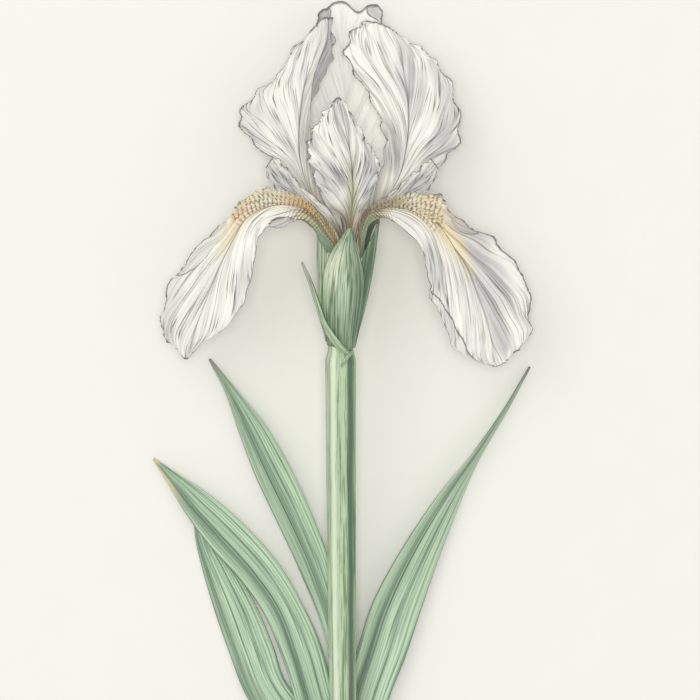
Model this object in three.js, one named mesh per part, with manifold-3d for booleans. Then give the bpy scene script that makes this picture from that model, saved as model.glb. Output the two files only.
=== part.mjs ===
// A picked bearded iris with its leaves, lying on its back on a level surface.
// Millimetres. +Y runs from the cut foot to the bloom, +Z points away from the surface.
// Each sheet (petal, leaf, bract) is drawn by stations from its root to its tip. A station
// holds three points across the sheet: one margin, the midrib, and the other margin.

import * as THREE from 'three';
import { mergeVertices } from 'three/addons/utils/BufferGeometryUtils.js';
import Module from 'manifold-3d';

const wasm = await Module();
wasm.setup();

// Driving dimensions
const petalThickness = 0.7;
const styleThickness = 0.7;
const bractThickness = 0.7;
const leafThickness = 0.8;
const stemFoot = [-1.5, -150, 8.0];
const stemTop = [-2.7, 0.7, 25.7];
const stemFootRadius = 3.7;
const stemTopRadius = 4.65;
const stemRibHeight = 0.22;
const stemShoulder = 0.95; // how far the stem narrows at the node below the bracts
const stemBow = -0.2; // how far the middle of the stem stands to one side
const throat = [0, 26, 27]; // centre of the ring where the petals meet the tube
const throatRadius = 3.7;
const clawHalfWidth = 1.55;
const styleRingRadius = 1.3;
const styleRootHalfWidth = 0.95;
const beardClearance = 0.35;
const beardCoreThickness = 0.6;
const hairLength = 2.3;
const hairRadius = 0.42;
const hairsPerBeard = 34;
const filamentRadius = 0.4;
const antherRadius = 0.75;
const restingPlace = [2.418, 22.192]; // moves the middle of the outline onto the origin

// Materials
function finish(colour, roughness) {
  return new THREE.MeshStandardMaterial({ color: colour, roughness, metalness: 0 });
}

const petalWhite = finish(0xefede4, 0.6);
const beardYellow = finish(0xe0a63c, 0.8);
const stamenCream = finish(0xe8dfba, 0.7);
const bractGreen = finish(0x9dbb92, 0.6);
const stemGreen = finish(0x8fae85, 0.5);
const leafGreen = finish(0x8cab86, 0.55);

// Curves through stations
function curveThrough(points) {
  const vectors = points.map((point) => new THREE.Vector3(...point));
  return new THREE.CatmullRomCurve3(vectors, false, 'catmullrom', 0.5);
}

// How strongly the margin waves at u: nothing at the root, full over the blade.
function waveStrength(u, start) {
  return THREE.MathUtils.smoothstep(u, start, start + 0.25);
}

// A smooth hump, 1 at its middle.
function bump(distance, spread) {
  return Math.exp(-((distance / spread) ** 2));
}

// Returns the middle surface of a sheet as a function of u (root to tip) and v (-1 to 1).
// crease 0 gives a round section, 1 a sharp fold along the midrib.
function sheetSurface({ stations, crease = 0, wave = null }) {
  const [left, middle, right] = [0, 1, 2].map((side) => {
    return curveThrough(stations.map((station) => station[side]));
  });
  return (u, v) => {
    const l = left.getPoint(u);
    const m = middle.getPoint(u);
    const r = right.getPoint(u);
    const round = new THREE.Vector3();
    round.addScaledVector(l, v * (v - 1) / 2);
    round.addScaledVector(m, 1 - v * v);
    round.addScaledVector(r, v * (v + 1) / 2);
    const folded = m.clone().lerp(v < 0 ? l : r, Math.abs(v));
    const point = round.lerp(folded, crease);
    if (wave) {
      const across = r.clone().sub(l).normalize();
      const along = middle.getTangent(u);
      const normal = across.cross(along).normalize();
      const share = v > 0 ? wave.secondMargin ?? 1 : 1;
      const reach = share * Math.abs(v) ** 2.5 * waveStrength(u, wave.start);
      const turns = 2 * Math.PI * (wave.count * u + (v < 0 ? wave.phase : 0));
      const ripple = Math.sin(turns) + 0.4 * Math.sin(2.3 * turns + 1);
      point.addScaledVector(normal, wave.height * reach * ripple);
      const outward = (v < 0 ? l : r).clone().sub(m).normalize();
      point.addScaledVector(outward, wave.notch * reach * Math.sin(1.7 * turns + 2));
      for (const notch of wave.tipNotches ?? []) {
        const depth = notch.depth * THREE.MathUtils.smoothstep(u, 0.85, 1);
        point.addScaledVector(along, -depth * bump(v - notch.at, notch.spread));
      }
    }
    return point;
  };
}

// Unit normal of a surface function at u, v.
function surfaceNormal(surface, u, v) {
  const step = 0.01;
  const u0 = Math.max(0, u - step);
  const u1 = Math.min(1, u + step);
  const v0 = Math.max(-1, v - step);
  const v1 = Math.min(1, v + step);
  const alongU = surface(u1, v).sub(surface(u0, v));
  const alongV = surface(u, v1).sub(surface(u, v0));
  return alongV.cross(alongU).normalize();
}

// Closes a surface into a sheet of even thickness, with both faces split alike.
function closedSheet(surface, rows, columns, thickness) {
  const positions = [];
  const indices = [];
  const width = columns + 1;
  const faceSize = (rows + 1) * width;
  for (const side of [0.5, -0.5]) {
    for (let i = 0; i <= rows; i += 1) {
      for (let j = 0; j <= columns; j += 1) {
        const u = i / rows;
        const v = 2 * j / columns - 1;
        const point = surface(u, v);
        point.addScaledVector(surfaceNormal(surface, u, v), side * thickness);
        positions.push(point.x, point.y, point.z);
      }
    }
  }
  const quad = (a, b, c, d) => indices.push(a, b, c, a, c, d);
  for (let i = 0; i < rows; i += 1) {
    for (let j = 0; j < columns; j += 1) {
      const a = i * width + j;
      const b = a + 1;
      const c = b + width;
      const d = a + width;
      quad(a, b, c, d);
      indices.push(a + faceSize, c + faceSize, b + faceSize);
      indices.push(a + faceSize, d + faceSize, c + faceSize);
    }
  }
  const rim = [];
  for (let j = 0; j < columns; j += 1) rim.push(j);
  for (let i = 0; i < rows; i += 1) rim.push(i * width + columns);
  for (let j = columns; j > 0; j -= 1) rim.push(rows * width + j);
  for (let i = rows; i > 0; i -= 1) rim.push(i * width);
  rim.forEach((a, k) => {
    const b = rim[(k + 1) % rim.length];
    quad(b, a, a + faceSize, b + faceSize);
  });
  return facingOut(positions, indices);
}

// Signed volume of a triangle mesh, positive when its faces point out.
function signedVolume(positions, indices) {
  const corner = (k) => new THREE.Vector3().fromArray(positions, 3 * indices[k]);
  let volume = 0;
  for (let k = 0; k < indices.length; k += 3) {
    volume += corner(k).dot(corner(k + 1).cross(corner(k + 2))) / 6;
  }
  return volume;
}

function facingOut(positions, indices) {
  if (signedVolume(positions, indices) < 0) {
    indices.reverse();
  }
  const geometry = new THREE.BufferGeometry();
  geometry.setAttribute('position', new THREE.Float32BufferAttribute(positions, 3));
  geometry.setIndex(indices);
  geometry.computeVertexNormals();
  return geometry;
}

// Shares of a length cut into equal steps, from 0 to 1.
function evenShares(steps) {
  return Array.from({ length: steps + 1 }, (_, k) => k / steps);
}

// A round body swept along a spine, with a ring at each of the shares given of its length.
// radiusAt(u, angle) gives its outline.
function sweptBody(spinePoints, radiusAt, shares, sides) {
  const spine = curveThrough(spinePoints);
  const rows = shares.length - 1;
  const positions = [];
  const indices = [];
  for (let i = 0; i <= rows; i += 1) {
    const u = shares[i];
    const centre = spine.getPoint(u);
    const tangent = spine.getTangent(u);
    const across = new THREE.Vector3(0, 0, 1).cross(tangent).normalize();
    const up = tangent.clone().cross(across).normalize();
    for (let j = 0; j < sides; j += 1) {
      const angle = 2 * Math.PI * j / sides;
      const radius = radiusAt(u, angle);
      const point = centre.clone();
      point.addScaledVector(across, radius * Math.cos(angle));
      point.addScaledVector(up, radius * Math.sin(angle));
      positions.push(point.x, point.y, point.z);
    }
  }
  for (let i = 0; i < rows; i += 1) {
    for (let j = 0; j < sides; j += 1) {
      const a = i * sides + j;
      const b = i * sides + (j + 1) % sides;
      indices.push(a, b, b + sides, a, b + sides, a + sides);
    }
  }
  for (const end of [0, 1]) {
    const centre = spine.getPoint(end);
    const hub = positions.length / 3;
    positions.push(centre.x, centre.y, centre.z);
    const ring = end * rows * sides;
    for (let j = 0; j < sides; j += 1) {
      const a = ring + j;
      const b = ring + (j + 1) % sides;
      indices.push(hub, end ? a : b, end ? b : a);
    }
  }
  return facingOut(positions, indices);
}

// Where a petal's claw stands in the ring of the throat, as one station.
// The bearing is taken from +X towards +Z, looking down the flower's axis.
function ringStation(bearingDegrees, radius, halfWidth) {
  const bearing = THREE.MathUtils.degToRad(bearingDegrees);
  const x = throat[0] + radius * Math.cos(bearing);
  const z = throat[2] + radius * Math.sin(bearing);
  const dx = halfWidth * Math.sin(bearing);
  const dz = -halfWidth * Math.cos(bearing);
  return [[x - dx, throat[1], z - dz], [x, throat[1], z], [x + dx, throat[1], z + dz]];
}

const flipped = (station) => [...station].reverse();

// Falls: the three drooping outer petals. The first margin is the upper one as it lies.
const fallLeftSheet = {
  stations: [
    ringStation(150, throatRadius, clawHalfWidth),
    [[-3.3, 33.3, 31.2], [-4.5, 31.0, 30.5], [-5.7, 28.8, 29.6]],
    [[-6.3, 38.1, 31.6], [-7.5, 35.0, 32.4], [-8.7, 31.8, 31.6]],
    [[-9.6, 41.7, 31.6], [-10.5, 39.0, 33.8], [-11.1, 36.3, 33.6]],
    [[-14.1, 45.3, 31.2], [-14.7, 42.4, 35.0], [-15.3, 39.0, 35.6]],
    [[-20.4, 46.8, 30.2], [-20.4, 43.2, 36.2], [-20.6, 36.9, 36.4]],
    [[-26.4, 47.4, 29.6], [-26.2, 42.0, 37.0], [-24.3, 36.9, 38.2]],
    [[-33.0, 44.1, 28.6], [-31.5, 38.4, 36.4], [-27.3, 33.0, 38.2]],
    [[-38.6, 37.4, 26.4], [-35.7, 31.2, 34.8], [-28.8, 25.5, 36.8]],
    [[-46.0, 31.6, 23.8], [-39.6, 23.4, 32.4], [-30.0, 19.5, 34.8]],
    [[-52.2, 22.5, 21.4], [-43.2, 14.4, 30.0], [-32.7, 12.9, 32.4]],
    [[-56.7, 12.0, 19.4], [-46.5, 6.0, 27.0], [-37.5, 6.6, 29.4]],
    [[-55.5, 4.2, 19.6], [-48.3, 1.2, 24.0], [-44.1, 2.7, 25.6]],
    [[-50.2, -1.8, 21.4], [-49.2, -2.7, 21.8], [-48.2, -1.6, 22.4]],
  ],
  wave: { height: 0.9, notch: 0.6, count: 7, start: 0.35, phase: 0.3, secondMargin: 0.3 },
};

const fallRightSheet = {
  stations: [
    flipped(ringStation(30, throatRadius, clawHalfWidth)),
    [[2.6, 34.0, 30.6], [3.1, 31.4, 30.2], [3.9, 28.4, 29.2]],
    [[3.6, 40.3, 31.4], [4.0, 37.0, 31.8], [4.6, 34.0, 30.6]],
    [[5.6, 42.6, 31.8], [6.0, 40.8, 33.2], [6.6, 38.6, 32.6]],
    [[10.0, 44.4, 31.6], [10.2, 42.2, 34.8], [10.6, 39.4, 35.0]],
    [[14.2, 45.6, 31.0], [14.6, 42.0, 36.2], [14.1, 37.8, 37.0]],
    [[19.5, 47.0, 30.4], [19.5, 40.2, 37.2], [18.3, 34.2, 38.2]],
    [[25.8, 45.6, 29.6], [24.0, 36.0, 37.4], [21.6, 30.0, 38.6]],
    [[31.8, 40.4, 28.2], [27.9, 30.0, 36.4], [23.1, 23.4, 37.6]],
    [[39.0, 35.6, 26.2], [31.5, 22.5, 34.6], [24.0, 17.4, 36.0]],
    [[46.0, 30.6, 24.2], [35.1, 14.4, 32.2], [26.7, 12.0, 34.6]],
    [[51.6, 23.0, 22.2], [38.7, 6.6, 29.8], [29.7, 5.1, 32.2]],
    [[54.2, 13.5, 20.8], [41.7, 0.6, 27.2], [32.1, 0.0, 29.6]],
    [[54.0, 5.0, 20.6], [43.8, -2.6, 25.2], [36.9, -2.7, 27.0]],
    [[48.8, -1.2, 22.4], [45.0, -4.6, 23.8], [41.6, -4.0, 25.0]],
  ],
  wave: { height: 0.9, notch: 0.6, count: 7, start: 0.35, phase: 0.55, secondMargin: 0.5 },
};

const fallBackSheet = {
  stations: [
    flipped(ringStation(-90, throatRadius, clawHalfWidth)),
    [[-1.9, 34.0, 21.0], [0.0, 34.0, 20.2], [1.9, 34.0, 21.0]],
    [[-3.4, 42.0, 15.0], [0.0, 42.0, 14.0], [3.4, 42.0, 15.0]],
    [[-6.5, 49.0, 9.2], [-0.2, 49.0, 7.6], [6.0, 49.0, 9.2]],
    [[-13.0, 56.0, 6.4], [-0.5, 57.0, 3.4], [11.5, 56.0, 6.4]],
    [[-19.5, 64.0, 4.8], [-1.0, 66.0, 1.2], [17.5, 64.0, 4.8]],
    [[-21.5, 74.0, 4.2], [-1.5, 76.0, 0.4], [19.5, 75.0, 4.2]],
    [[-17.4, 85.6, 4.2], [-2.0, 86.0, 0.4], [16.6, 86.6, 4.2]],
    [[-12.2, 95.0, 4.8], [-2.6, 96.0, 1.2], [11.4, 95.6, 4.8]],
    [[-9.0, 102.2, 6.0], [-3.0, 106.0, 2.8], [8.6, 104.6, 6.0]],
  ],
  wave: {
    height: 0.8,
    notch: 0.6,
    count: 6,
    start: 0.4,
    phase: 0.4,
    tipNotches: [{ at: 0.5, depth: 3.2, spread: 0.24 }, { at: -0.55, depth: 0.9, spread: 0.2 }],
  },
};

// Standards: the three upright inner petals.
const standardLeftSheet = {
  stations: [
    ringStation(210, throatRadius, clawHalfWidth),
    [[-5.6, 32.0, 25.4], [-4.8, 32.0, 24.6], [-3.8, 32.4, 23.0]],
    [[-9.0, 38.6, 23.2], [-7.0, 38.4, 24.0], [-5.4, 39.2, 20.6]],
    [[-14.7, 46.6, 21.6], [-12.3, 47.6, 22.8], [-8.6, 47.0, 17.4]],
    [[-21.0, 55.4, 19.8], [-15.0, 57.0, 22.8], [-11.2, 56.0, 14.8]],
    [[-29.6, 63.0, 16.6], [-15.4, 65.0, 23.2], [-12.2, 65.5, 13.6]],
    [[-33.6, 70.6, 13.4], [-14.6, 74.0, 23.2], [-12.0, 74.0, 13.0]],
    [[-28.6, 77.0, 12.2], [-13.4, 80.5, 22.4], [-9.2, 80.5, 12.8]],
    [[-21.8, 83.0, 12.6], [-11.4, 86.0, 20.8], [-6.4, 86.5, 12.8]],
    [[-16.0, 92.0, 13.4], [-9.4, 92.6, 18.8], [-5.0, 92.5, 13.4]],
    [[-9.8, 97.2, 15.2], [-8.4, 100.0, 16.4], [-6.0, 100.4, 14.6]],
  ],
  crease: 0.55,
  wave: { height: 0.9, notch: 0.8, count: 7, start: 0.3, phase: 0.2 },
};

const standardRightSheet = {
  stations: [
    ringStation(-30, throatRadius, clawHalfWidth),
    [[3.6, 32.2, 23.2], [4.6, 32.0, 24.4], [5.4, 31.8, 25.2]],
    [[4.6, 38.6, 22.0], [6.4, 38.4, 23.4], [8.0, 38.2, 22.8]],
    [[6.2, 46.0, 20.0], [11.2, 45.6, 23.6], [14.4, 45.8, 22.2]],
    [[9.0, 53.0, 18.2], [15.0, 52.6, 23.6], [21.4, 49.6, 20.8]],
    [[10.8, 61.4, 17.0], [16.8, 60.0, 23.2], [27.8, 56.6, 18.4]],
    [[9.0, 69.6, 16.0], [17.6, 67.6, 22.8], [33.0, 63.8, 16.4]],
    [[4.2, 79.6, 16.0], [17.4, 75.6, 21.8], [32.0, 75.0, 14.8]],
    [[-1.2, 88.4, 16.0], [16.2, 83.6, 20.4], [27.4, 85.2, 14.2]],
    [[0.6, 95.6, 16.0], [14.6, 90.6, 18.6], [21.4, 90.8, 14.2]],
    [[5.4, 99.6, 15.4], [11.6, 97.4, 16.4], [14.8, 94.2, 15.0]],
  ],
  crease: 0.3,
  wave: { height: 0.9, notch: 0.8, count: 7, start: 0.3, phase: 0.7 },
};

const standardFrontSheet = {
  stations: [
    flipped(ringStation(90, throatRadius, clawHalfWidth)),
    [[-1.6, 33.0, 31.0], [0.2, 33.0, 31.1], [1.9, 33.0, 31.0]],
    [[-2.3, 39.4, 32.8], [0.3, 38.0, 33.2], [2.5, 38.0, 32.6]],
    [[-6.9, 43.0, 35.8], [0.6, 43.0, 37.0], [3.8, 43.0, 35.5]],
    [[-9.3, 48.0, 38.5], [0.9, 48.0, 41.5], [7.0, 48.0, 38.5]],
    [[-11.3, 54.0, 43.0], [0.6, 53.4, 46.0], [8.8, 54.0, 43.0]],
    [[-12.6, 59.4, 47.5], [0.0, 59.0, 50.0], [6.4, 59.5, 47.5]],
    [[-10.9, 65.2, 52.0], [-1.2, 65.0, 54.0], [3.0, 65.0, 52.0]],
    [[-7.6, 70.2, 55.5], [-2.4, 70.2, 57.0], [0.0, 70.2, 56.0]],
    [[-4.4, 73.8, 58.4], [-3.4, 74.6, 59.0], [-2.6, 73.8, 58.6]],
  ],
  crease: 0.2,
  wave: { height: 0.7, notch: 0.5, count: 6, start: 0.3, phase: 0.5 },
};

// Style arms: petal-like, each over the claw of a fall, ending in a crest.
const styleLeftSheet = {
  stations: [
    ringStation(150, styleRingRadius, styleRootHalfWidth),
    [[-2.0, 34.0, 28.2], [-2.8, 33.6, 27.6], [-3.4, 33.0, 26.8]],
    [[-5.6, 41.2, 28.4], [-6.6, 40.0, 28.0], [-7.4, 38.6, 27.2]],
    [[-10.4, 45.6, 27.6], [-11.4, 43.8, 27.6], [-12.4, 42.0, 27.0]],
    [[-15.2, 49.6, 26.0], [-16.5, 47.6, 26.6], [-17.8, 45.4, 25.4]],
    [[-18.8, 54.0, 24.8], [-20.5, 51.4, 25.6], [-22.6, 48.6, 24.2]],
    [[-22.8, 58.0, 24.0], [-24.0, 56.8, 24.4], [-25.4, 54.6, 23.6]],
  ],
  wave: { height: 0.5, notch: 0.5, count: 5, start: 0.5, phase: 0.5 },
};

const styleRightSheet = {
  stations: [
    flipped(ringStation(30, styleRingRadius, styleRootHalfWidth)),
    [[1.6, 34.0, 27.4], [2.2, 33.6, 26.8], [2.8, 33.0, 26.2]],
    [[4.8, 41.0, 27.4], [5.8, 39.8, 27.0], [6.8, 38.4, 26.4]],
    [[10.2, 45.4, 27.6], [11.2, 43.6, 27.4], [12.2, 41.8, 26.8]],
    [[15.4, 49.6, 27.4], [17.0, 47.4, 27.6], [18.2, 45.0, 26.6]],
    [[20.0, 53.6, 26.6], [21.8, 51.2, 27.0], [23.6, 48.4, 25.8]],
    [[24.2, 57.4, 25.6], [25.4, 56.0, 25.8], [26.6, 54.2, 25.2]],
  ],
  wave: { height: 0.5, notch: 0.5, count: 5, start: 0.5, phase: 0.1 },
};

const styleBackSheet = {
  stations: [
    flipped(ringStation(-90, styleRingRadius, styleRootHalfWidth)),
    [[-1.2, 34.0, 25.2], [0.0, 34.0, 25.4], [1.2, 34.0, 25.2]],
    [[-2.0, 42.0, 21.8], [0.0, 42.0, 22.2], [2.0, 42.0, 21.8]],
    [[-2.6, 50.0, 16.6], [0.0, 50.0, 17.2], [2.6, 50.0, 16.6]],
    [[-3.8, 57.0, 13.2], [0.0, 57.0, 14.0], [3.8, 57.0, 13.2]],
    [[-3.0, 63.6, 12.0], [0.0, 64.0, 12.4], [3.0, 63.6, 12.0]],
  ],
  wave: { height: 0.5, notch: 0.4, count: 4, start: 0.5, phase: 0.3 },
};

// Spathe: the green bracts round the tube.
const spatheFrontSheet = {
  stations: [
    [[-7.3, 2.8, 28.3], [-2.3, 0.1, 31.0], [1.4, 0.9, 28.4]],
    [[-7.7, 6.0, 28.4], [-2.4, 6.0, 32.2], [2.6, 6.0, 28.8]],
    [[-8.3, 13.0, 29.0], [-2.1, 13.0, 33.6], [3.7, 13.0, 30.2]],
    [[-8.3, 19.4, 29.6], [-1.8, 19.4, 34.4], [4.2, 19.4, 31.2]],
    [[-7.4, 24.8, 30.6], [-1.5, 25.0, 34.8], [3.6, 24.8, 32.2]],
    [[-5.4, 29.4, 32.0], [-1.2, 29.4, 35.0], [2.4, 29.2, 33.2]],
    [[-2.8, 33.2, 33.6], [-0.6, 33.4, 35.2], [1.3, 33.4, 34.2]],
    [[-0.5, 36.2, 34.9], [0.0, 36.4, 35.1], [0.5, 36.2, 34.9]],
  ],
};

// A bract that wraps the tube at its side, between two bearings taken from the front.
// Its front margin is tucked under the front bract. Angles are in degrees.
const bractShoulder = 0.74; // share of the full height that a bract's low sides reach
const bractFlattening = 0.92; // depth of the bracts' section over its width
const tuckSpread = 26;
const sideBractCentres = [[-2.7, 1.4, 25.7], [-2.3, 9, 26.1], [-1.6, 18, 26.6], [-0.8, 28, 27]];

function sideBractSurface({ radii, from, to, tipHeight, tipBearing, tipSpread, tuck }) {
  const spine = curveThrough(sideBractCentres);
  const size = new THREE.SplineCurve(radii.map((radius) => new THREE.Vector2(radius, 0)));
  return (u, v) => {
    const share = (v + 1) / 2;
    const degrees = THREE.MathUtils.lerp(from, to, share);
    const peak = bump(degrees - tipBearing, tipSpread);
    const centre = spine.getPoint(u * THREE.MathUtils.lerp(bractShoulder, 1, peak));
    const radius = size.getPoint(u).x * (1 - tuck * bump(degrees - from, tuckSpread));
    const bearing = THREE.MathUtils.degToRad(degrees);
    const x = centre.x + radius * Math.sin(bearing);
    const y = centre.y + u ** 3 * tipHeight * peak;
    const z = centre.z + bractFlattening * radius * Math.cos(bearing);
    return new THREE.Vector3(x, y, z);
  };
}

const spatheLeftSurface = sideBractSurface({
  radii: [3.9, 6.6, 8.3, 9.2],
  from: -52,
  to: -188,
  tipHeight: 8,
  tipBearing: -95,
  tipSpread: 48,
  tuck: 0.3,
});
const spatheRightSurface = sideBractSurface({
  radii: [3.8, 5.9, 7.9, 9.6],
  from: 34,
  to: 158,
  tipHeight: 11,
  tipBearing: 88,
  tipSpread: 46,
  tuck: 0.36,
});

const spatheOuterSheet = {
  stations: [
    [[0.3, -0.7, 31.3], [-0.2, -1.0, 31.4], [-0.8, -1.3, 31.4]],
    [[-1.8, 1.3, 32.3], [-2.5, 0.6, 32.4], [-3.3, 0.1, 32.1]],
    [[-4.5, 4.4, 33.1], [-5.2, 3.8, 32.9], [-5.9, 3.1, 32.3]],
    [[-7.2, 9.0, 32.1], [-7.8, 8.2, 31.6], [-8.4, 7.5, 30.9]],
    [[-9.2, 14.6, 30.4], [-9.7, 14.0, 30.0], [-10.2, 13.4, 29.4]],
    [[-11.5, 20.9, 29.1], [-11.9, 20.4, 28.8], [-12.3, 19.9, 28.3]],
    [[-14.2, 26.4, 28.9], [-14.4, 26.3, 28.8], [-14.6, 26.2, 28.7]],
  ],
};

// A narrow scale that crosses the stem under the foot of the outer bract.
const spatheScaleSheet = {
  stations: [
    [[0.3, 0.0, 29.7], [0.75, -0.35, 29.3], [1.2, -0.7, 28.8]],
    [[-0.7, -0.9, 30.4], [-0.2, -1.2, 30.2], [0.3, -1.5, 29.9]],
    [[-2.0, -3.1, 30.7], [-1.6, -3.4, 30.7], [-1.2, -3.7, 30.5]],
    [[-2.9, -5.0, 30.5], [-2.7, -5.1, 30.5], [-2.5, -5.2, 30.5]],
  ],
};

// Leaves: they lie under the stem, one inside the other at the foot, and spread from it.
const leafUpperLeftSheet = {
  stations: [
    [[-7.4, -128, 9.2], [-1.5, -128, 5.4], [4.4, -128, 9.2]],
    [[-7.0, -113, 9.8], [-1.7, -113, 6.8], [3.6, -113, 9.8]],
    [[-6.0, -100, 9.4], [-2.6, -99, 8.0], [1.2, -98, 9.2]],
    [[-8.0, -85, 7.6], [-4.9, -83.5, 8.8], [-1.6, -82, 9.2]],
    [[-15.3, -66.5, 5.6], [-10.8, -65, 9.4], [-6.4, -63.5, 8.6]],
    [[-22.3, -51.5, 4.6], [-17.4, -50, 9.6], [-12.4, -48, 8.2]],
    [[-28.4, -38.6, 3.8], [-23.8, -37, 9.0], [-18.2, -35.6, 7.4]],
    [[-33.4, -25.6, 3.0], [-29.8, -24.4, 7.6], [-25.6, -23.0, 6.2]],
    [[-37.6, -13.4, 2.4], [-36.2, -12.8, 5.0], [-34.2, -12.4, 4.2]],
    [[-42.9, -2.8, 2.0], [-42.6, -2.7, 2.2], [-42.2, -2.8, 2.2]],
  ],
  crease: 0.5,
};

const leafRightSheet = {
  stations: [
    [[-8.2, -150, 7.0], [-1.5, -150, 2.8], [5.2, -150, 7.0]],
    [[-7.6, -134, 7.4], [-1.0, -134, 3.6], [6.0, -134, 7.4]],
    [[-6.0, -120, 5.4], [0.8, -120, 4.6], [8.2, -120, 7.0]],
    [[-2.5, -106, 5.6], [4.5, -106, 5.4], [11.8, -106, 6.0]],
    [[2.2, -91, 5.6], [9.0, -92, 6.6], [16.8, -93, 5.0]],
    [[7.0, -76.5, 5.8], [13.6, -78, 7.8], [21.2, -79.5, 4.4]],
    [[15.6, -60.6, 6.2], [20.8, -62, 8.6], [26.6, -63.8, 3.6]],
    [[26.2, -44.8, 7.2], [29.6, -46, 8.4], [33.0, -47.2, 2.4]],
    [[37.0, -31.4, 7.8], [38.4, -32, 6.2], [39.6, -32.6, 0.6]],
    [[46.6, -18.0, 5.4], [47.2, -18, 3.8], [47.9, -18.2, 0.5]],
    [[54.4, -5.0, 1.8], [54.6, -5.1, 1.4], [54.8, -5.2, 1.0]],
  ],
  crease: 0.3,
};

const leafLowerLeftSheet = {
  stations: [
    [[-9.9, -150, 7.0], [-1.5, -150, 1.6], [6.9, -150, 7.0]],
    [[-11.0, -134, 6.5], [-3.5, -134, 2.0], [4.3, -134, 3.4]],
    [[-14.0, -118, 6.0], [-7.5, -118, 3.4], [-0.6, -118, 3.0]],
    [[-17.2, -104, 5.6], [-11.0, -104, 5.2], [-4.9, -104, 5.0]],
    [[-21.0, -92, 5.2], [-14.8, -91, 6.8], [-8.6, -90, 6.0]],
    [[-26.0, -80, 4.8], [-19.8, -78, 8.0], [-14.0, -78, 7.0]],
    [[-33.0, -70, 4.4], [-28.0, -66, 8.2], [-21.8, -64.6, 7.5]],
    [[-42.0, -60, 3.6], [-38.0, -55, 7.0], [-33.0, -52.2, 6.5]],
    [[-49.5, -50, 2.8], [-46.5, -46.5, 5.0], [-43.4, -43.4, 4.5]],
    [[-55.0, -41, 1.9], [-53.8, -38.8, 3.0], [-52.6, -37.4, 3.0]],
    [[-59.8, -33.3, 1.5], [-59.6, -33.0, 1.6], [-59.3, -32.8, 1.6]],
  ],
  crease: 0.4,
};

const leafBehindLeftSheet = {
  stations: [
    [[-11.8, -150, 6.8], [-1.5, -150, 0.4], [8.8, -150, 6.8]],
    [[-16.0, -134, 4.6], [-6.0, -134, 0.5], [3.0, -134, 1.2]],
    [[-24.0, -118, 2.4], [-14.5, -118, 1.1], [-5.0, -118, 0.8]],
    [[-32.0, -104, 1.2], [-25.0, -103, 2.6], [-18.7, -102, 2.0]],
    [[-36.6, -92, 0.6], [-29.8, -91, 3.6], [-23.4, -90, 2.2]],
    [[-40.8, -80, 0.4], [-34.2, -79, 4.0], [-28.5, -78, 2.2]],
    [[-44.4, -68, 0.4], [-39.6, -67, 3.2], [-34.8, -67, 1.6]],
    [[-46.8, -58, 0.4], [-44.2, -57.4, 1.6], [-41.6, -58, 0.9]],
    [[-47.6, -50, 0.6], [-47.3, -49.6, 0.7], [-47.0, -49.4, 0.6]],
  ],
  crease: 0.4,
};

// Stem and the parts inside the flower
function stemGeometry() {
  const ribs = 7;
  const shoulderStart = 0.97;
  const radiusAt = (u, angle) => {
    const base = THREE.MathUtils.lerp(stemFootRadius, stemTopRadius, u);
    const narrowing = stemShoulder * THREE.MathUtils.smoothstep(u, shoulderStart, 1);
    return base - narrowing + stemRibHeight * Math.cos(ribs * angle);
  };
  const middle = stemFoot.map((value, axis) => (value + stemTop[axis]) / 2);
  middle[0] += stemBow;
  const shares = [...evenShares(8).slice(0, -1), shoulderStart, 0.985, 1];
  return sweptBody([stemFoot, middle, stemTop], radiusAt, shares, 28);
}

function ovaryGeometry() {
  const [x, y, z] = throat;
  const spine = [[-2.7, 1.6, 25.8], [-2.1, 8, 26], [-1, 17, 26.6], [x, y - 0.9, z]];
  const radii = new THREE.SplineCurve([
    new THREE.Vector2(1.7, 0),
    new THREE.Vector2(2.3, 0),
    new THREE.Vector2(2.0, 0),
    new THREE.Vector2(4.0, 0),
  ]);
  return sweptBody(spine, (u) => radii.getPoint(u).x, evenShares(8), 12);
}

// A thin filament that ends in a long anther.
function stamenGeometry(points) {
  const radiusAt = (u) => {
    const swelling = THREE.MathUtils.smoothstep(u, 0.55, 0.65);
    const ending = 1 - 0.6 * THREE.MathUtils.smoothstep(u, 0.92, 1);
    return THREE.MathUtils.lerp(filamentRadius, antherRadius, swelling) * ending;
  };
  return sweptBody(points, radiusAt, evenShares(10), 6);
}

const stamenPaths = {
  stamen_left: [[-2.2, 27.6, 28.2], [-4.6, 33.6, 29.2], [-8, 38.2, 29.8], [-12.4, 41.6, 29.8],
    [-18, 43.6, 29.2]],
  stamen_right: [[2.0, 27.6, 28.1], [2.6, 33.6, 29.0], [5, 38.6, 29.4], [9.6, 41.4, 30.0],
    [16.4, 43.6, 29.8]],
  stamen_back: [[0, 27.6, 24.5], [0, 34, 23.0], [0, 42, 18.0], [0, 50, 12.8], [0, 55, 10.6]],
};

// Beards: a strip along the arch of a fall, with hairs standing up from it. Its middle is
// taken across the fall, -1 at its first margin and 0 at the midrib.
function seededRandom(seed) {
  let state = seed;
  return () => {
    state = (state * 16807) % 2147483647;
    return state / 2147483647;
  };
}

function solidFrom(geometry) {
  const bare = geometry.clone();
  bare.deleteAttribute('normal');
  const merged = mergeVertices(bare);
  const vertProperties = new Float32Array(merged.attributes.position.array);
  const triVerts = new Uint32Array(merged.index.array);
  return new wasm.Manifold(new wasm.Mesh({ numProp: 3, vertProperties, triVerts }));
}

function geometryFrom(solid) {
  const mesh = solid.getMesh();
  const geometry = new THREE.BufferGeometry();
  const positions = new THREE.Float32BufferAttribute(mesh.vertProperties, 3);
  geometry.setAttribute('position', positions);
  geometry.setIndex(Array.from(mesh.triVerts));
  geometry.computeVertexNormals();
  return geometry;
}

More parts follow.
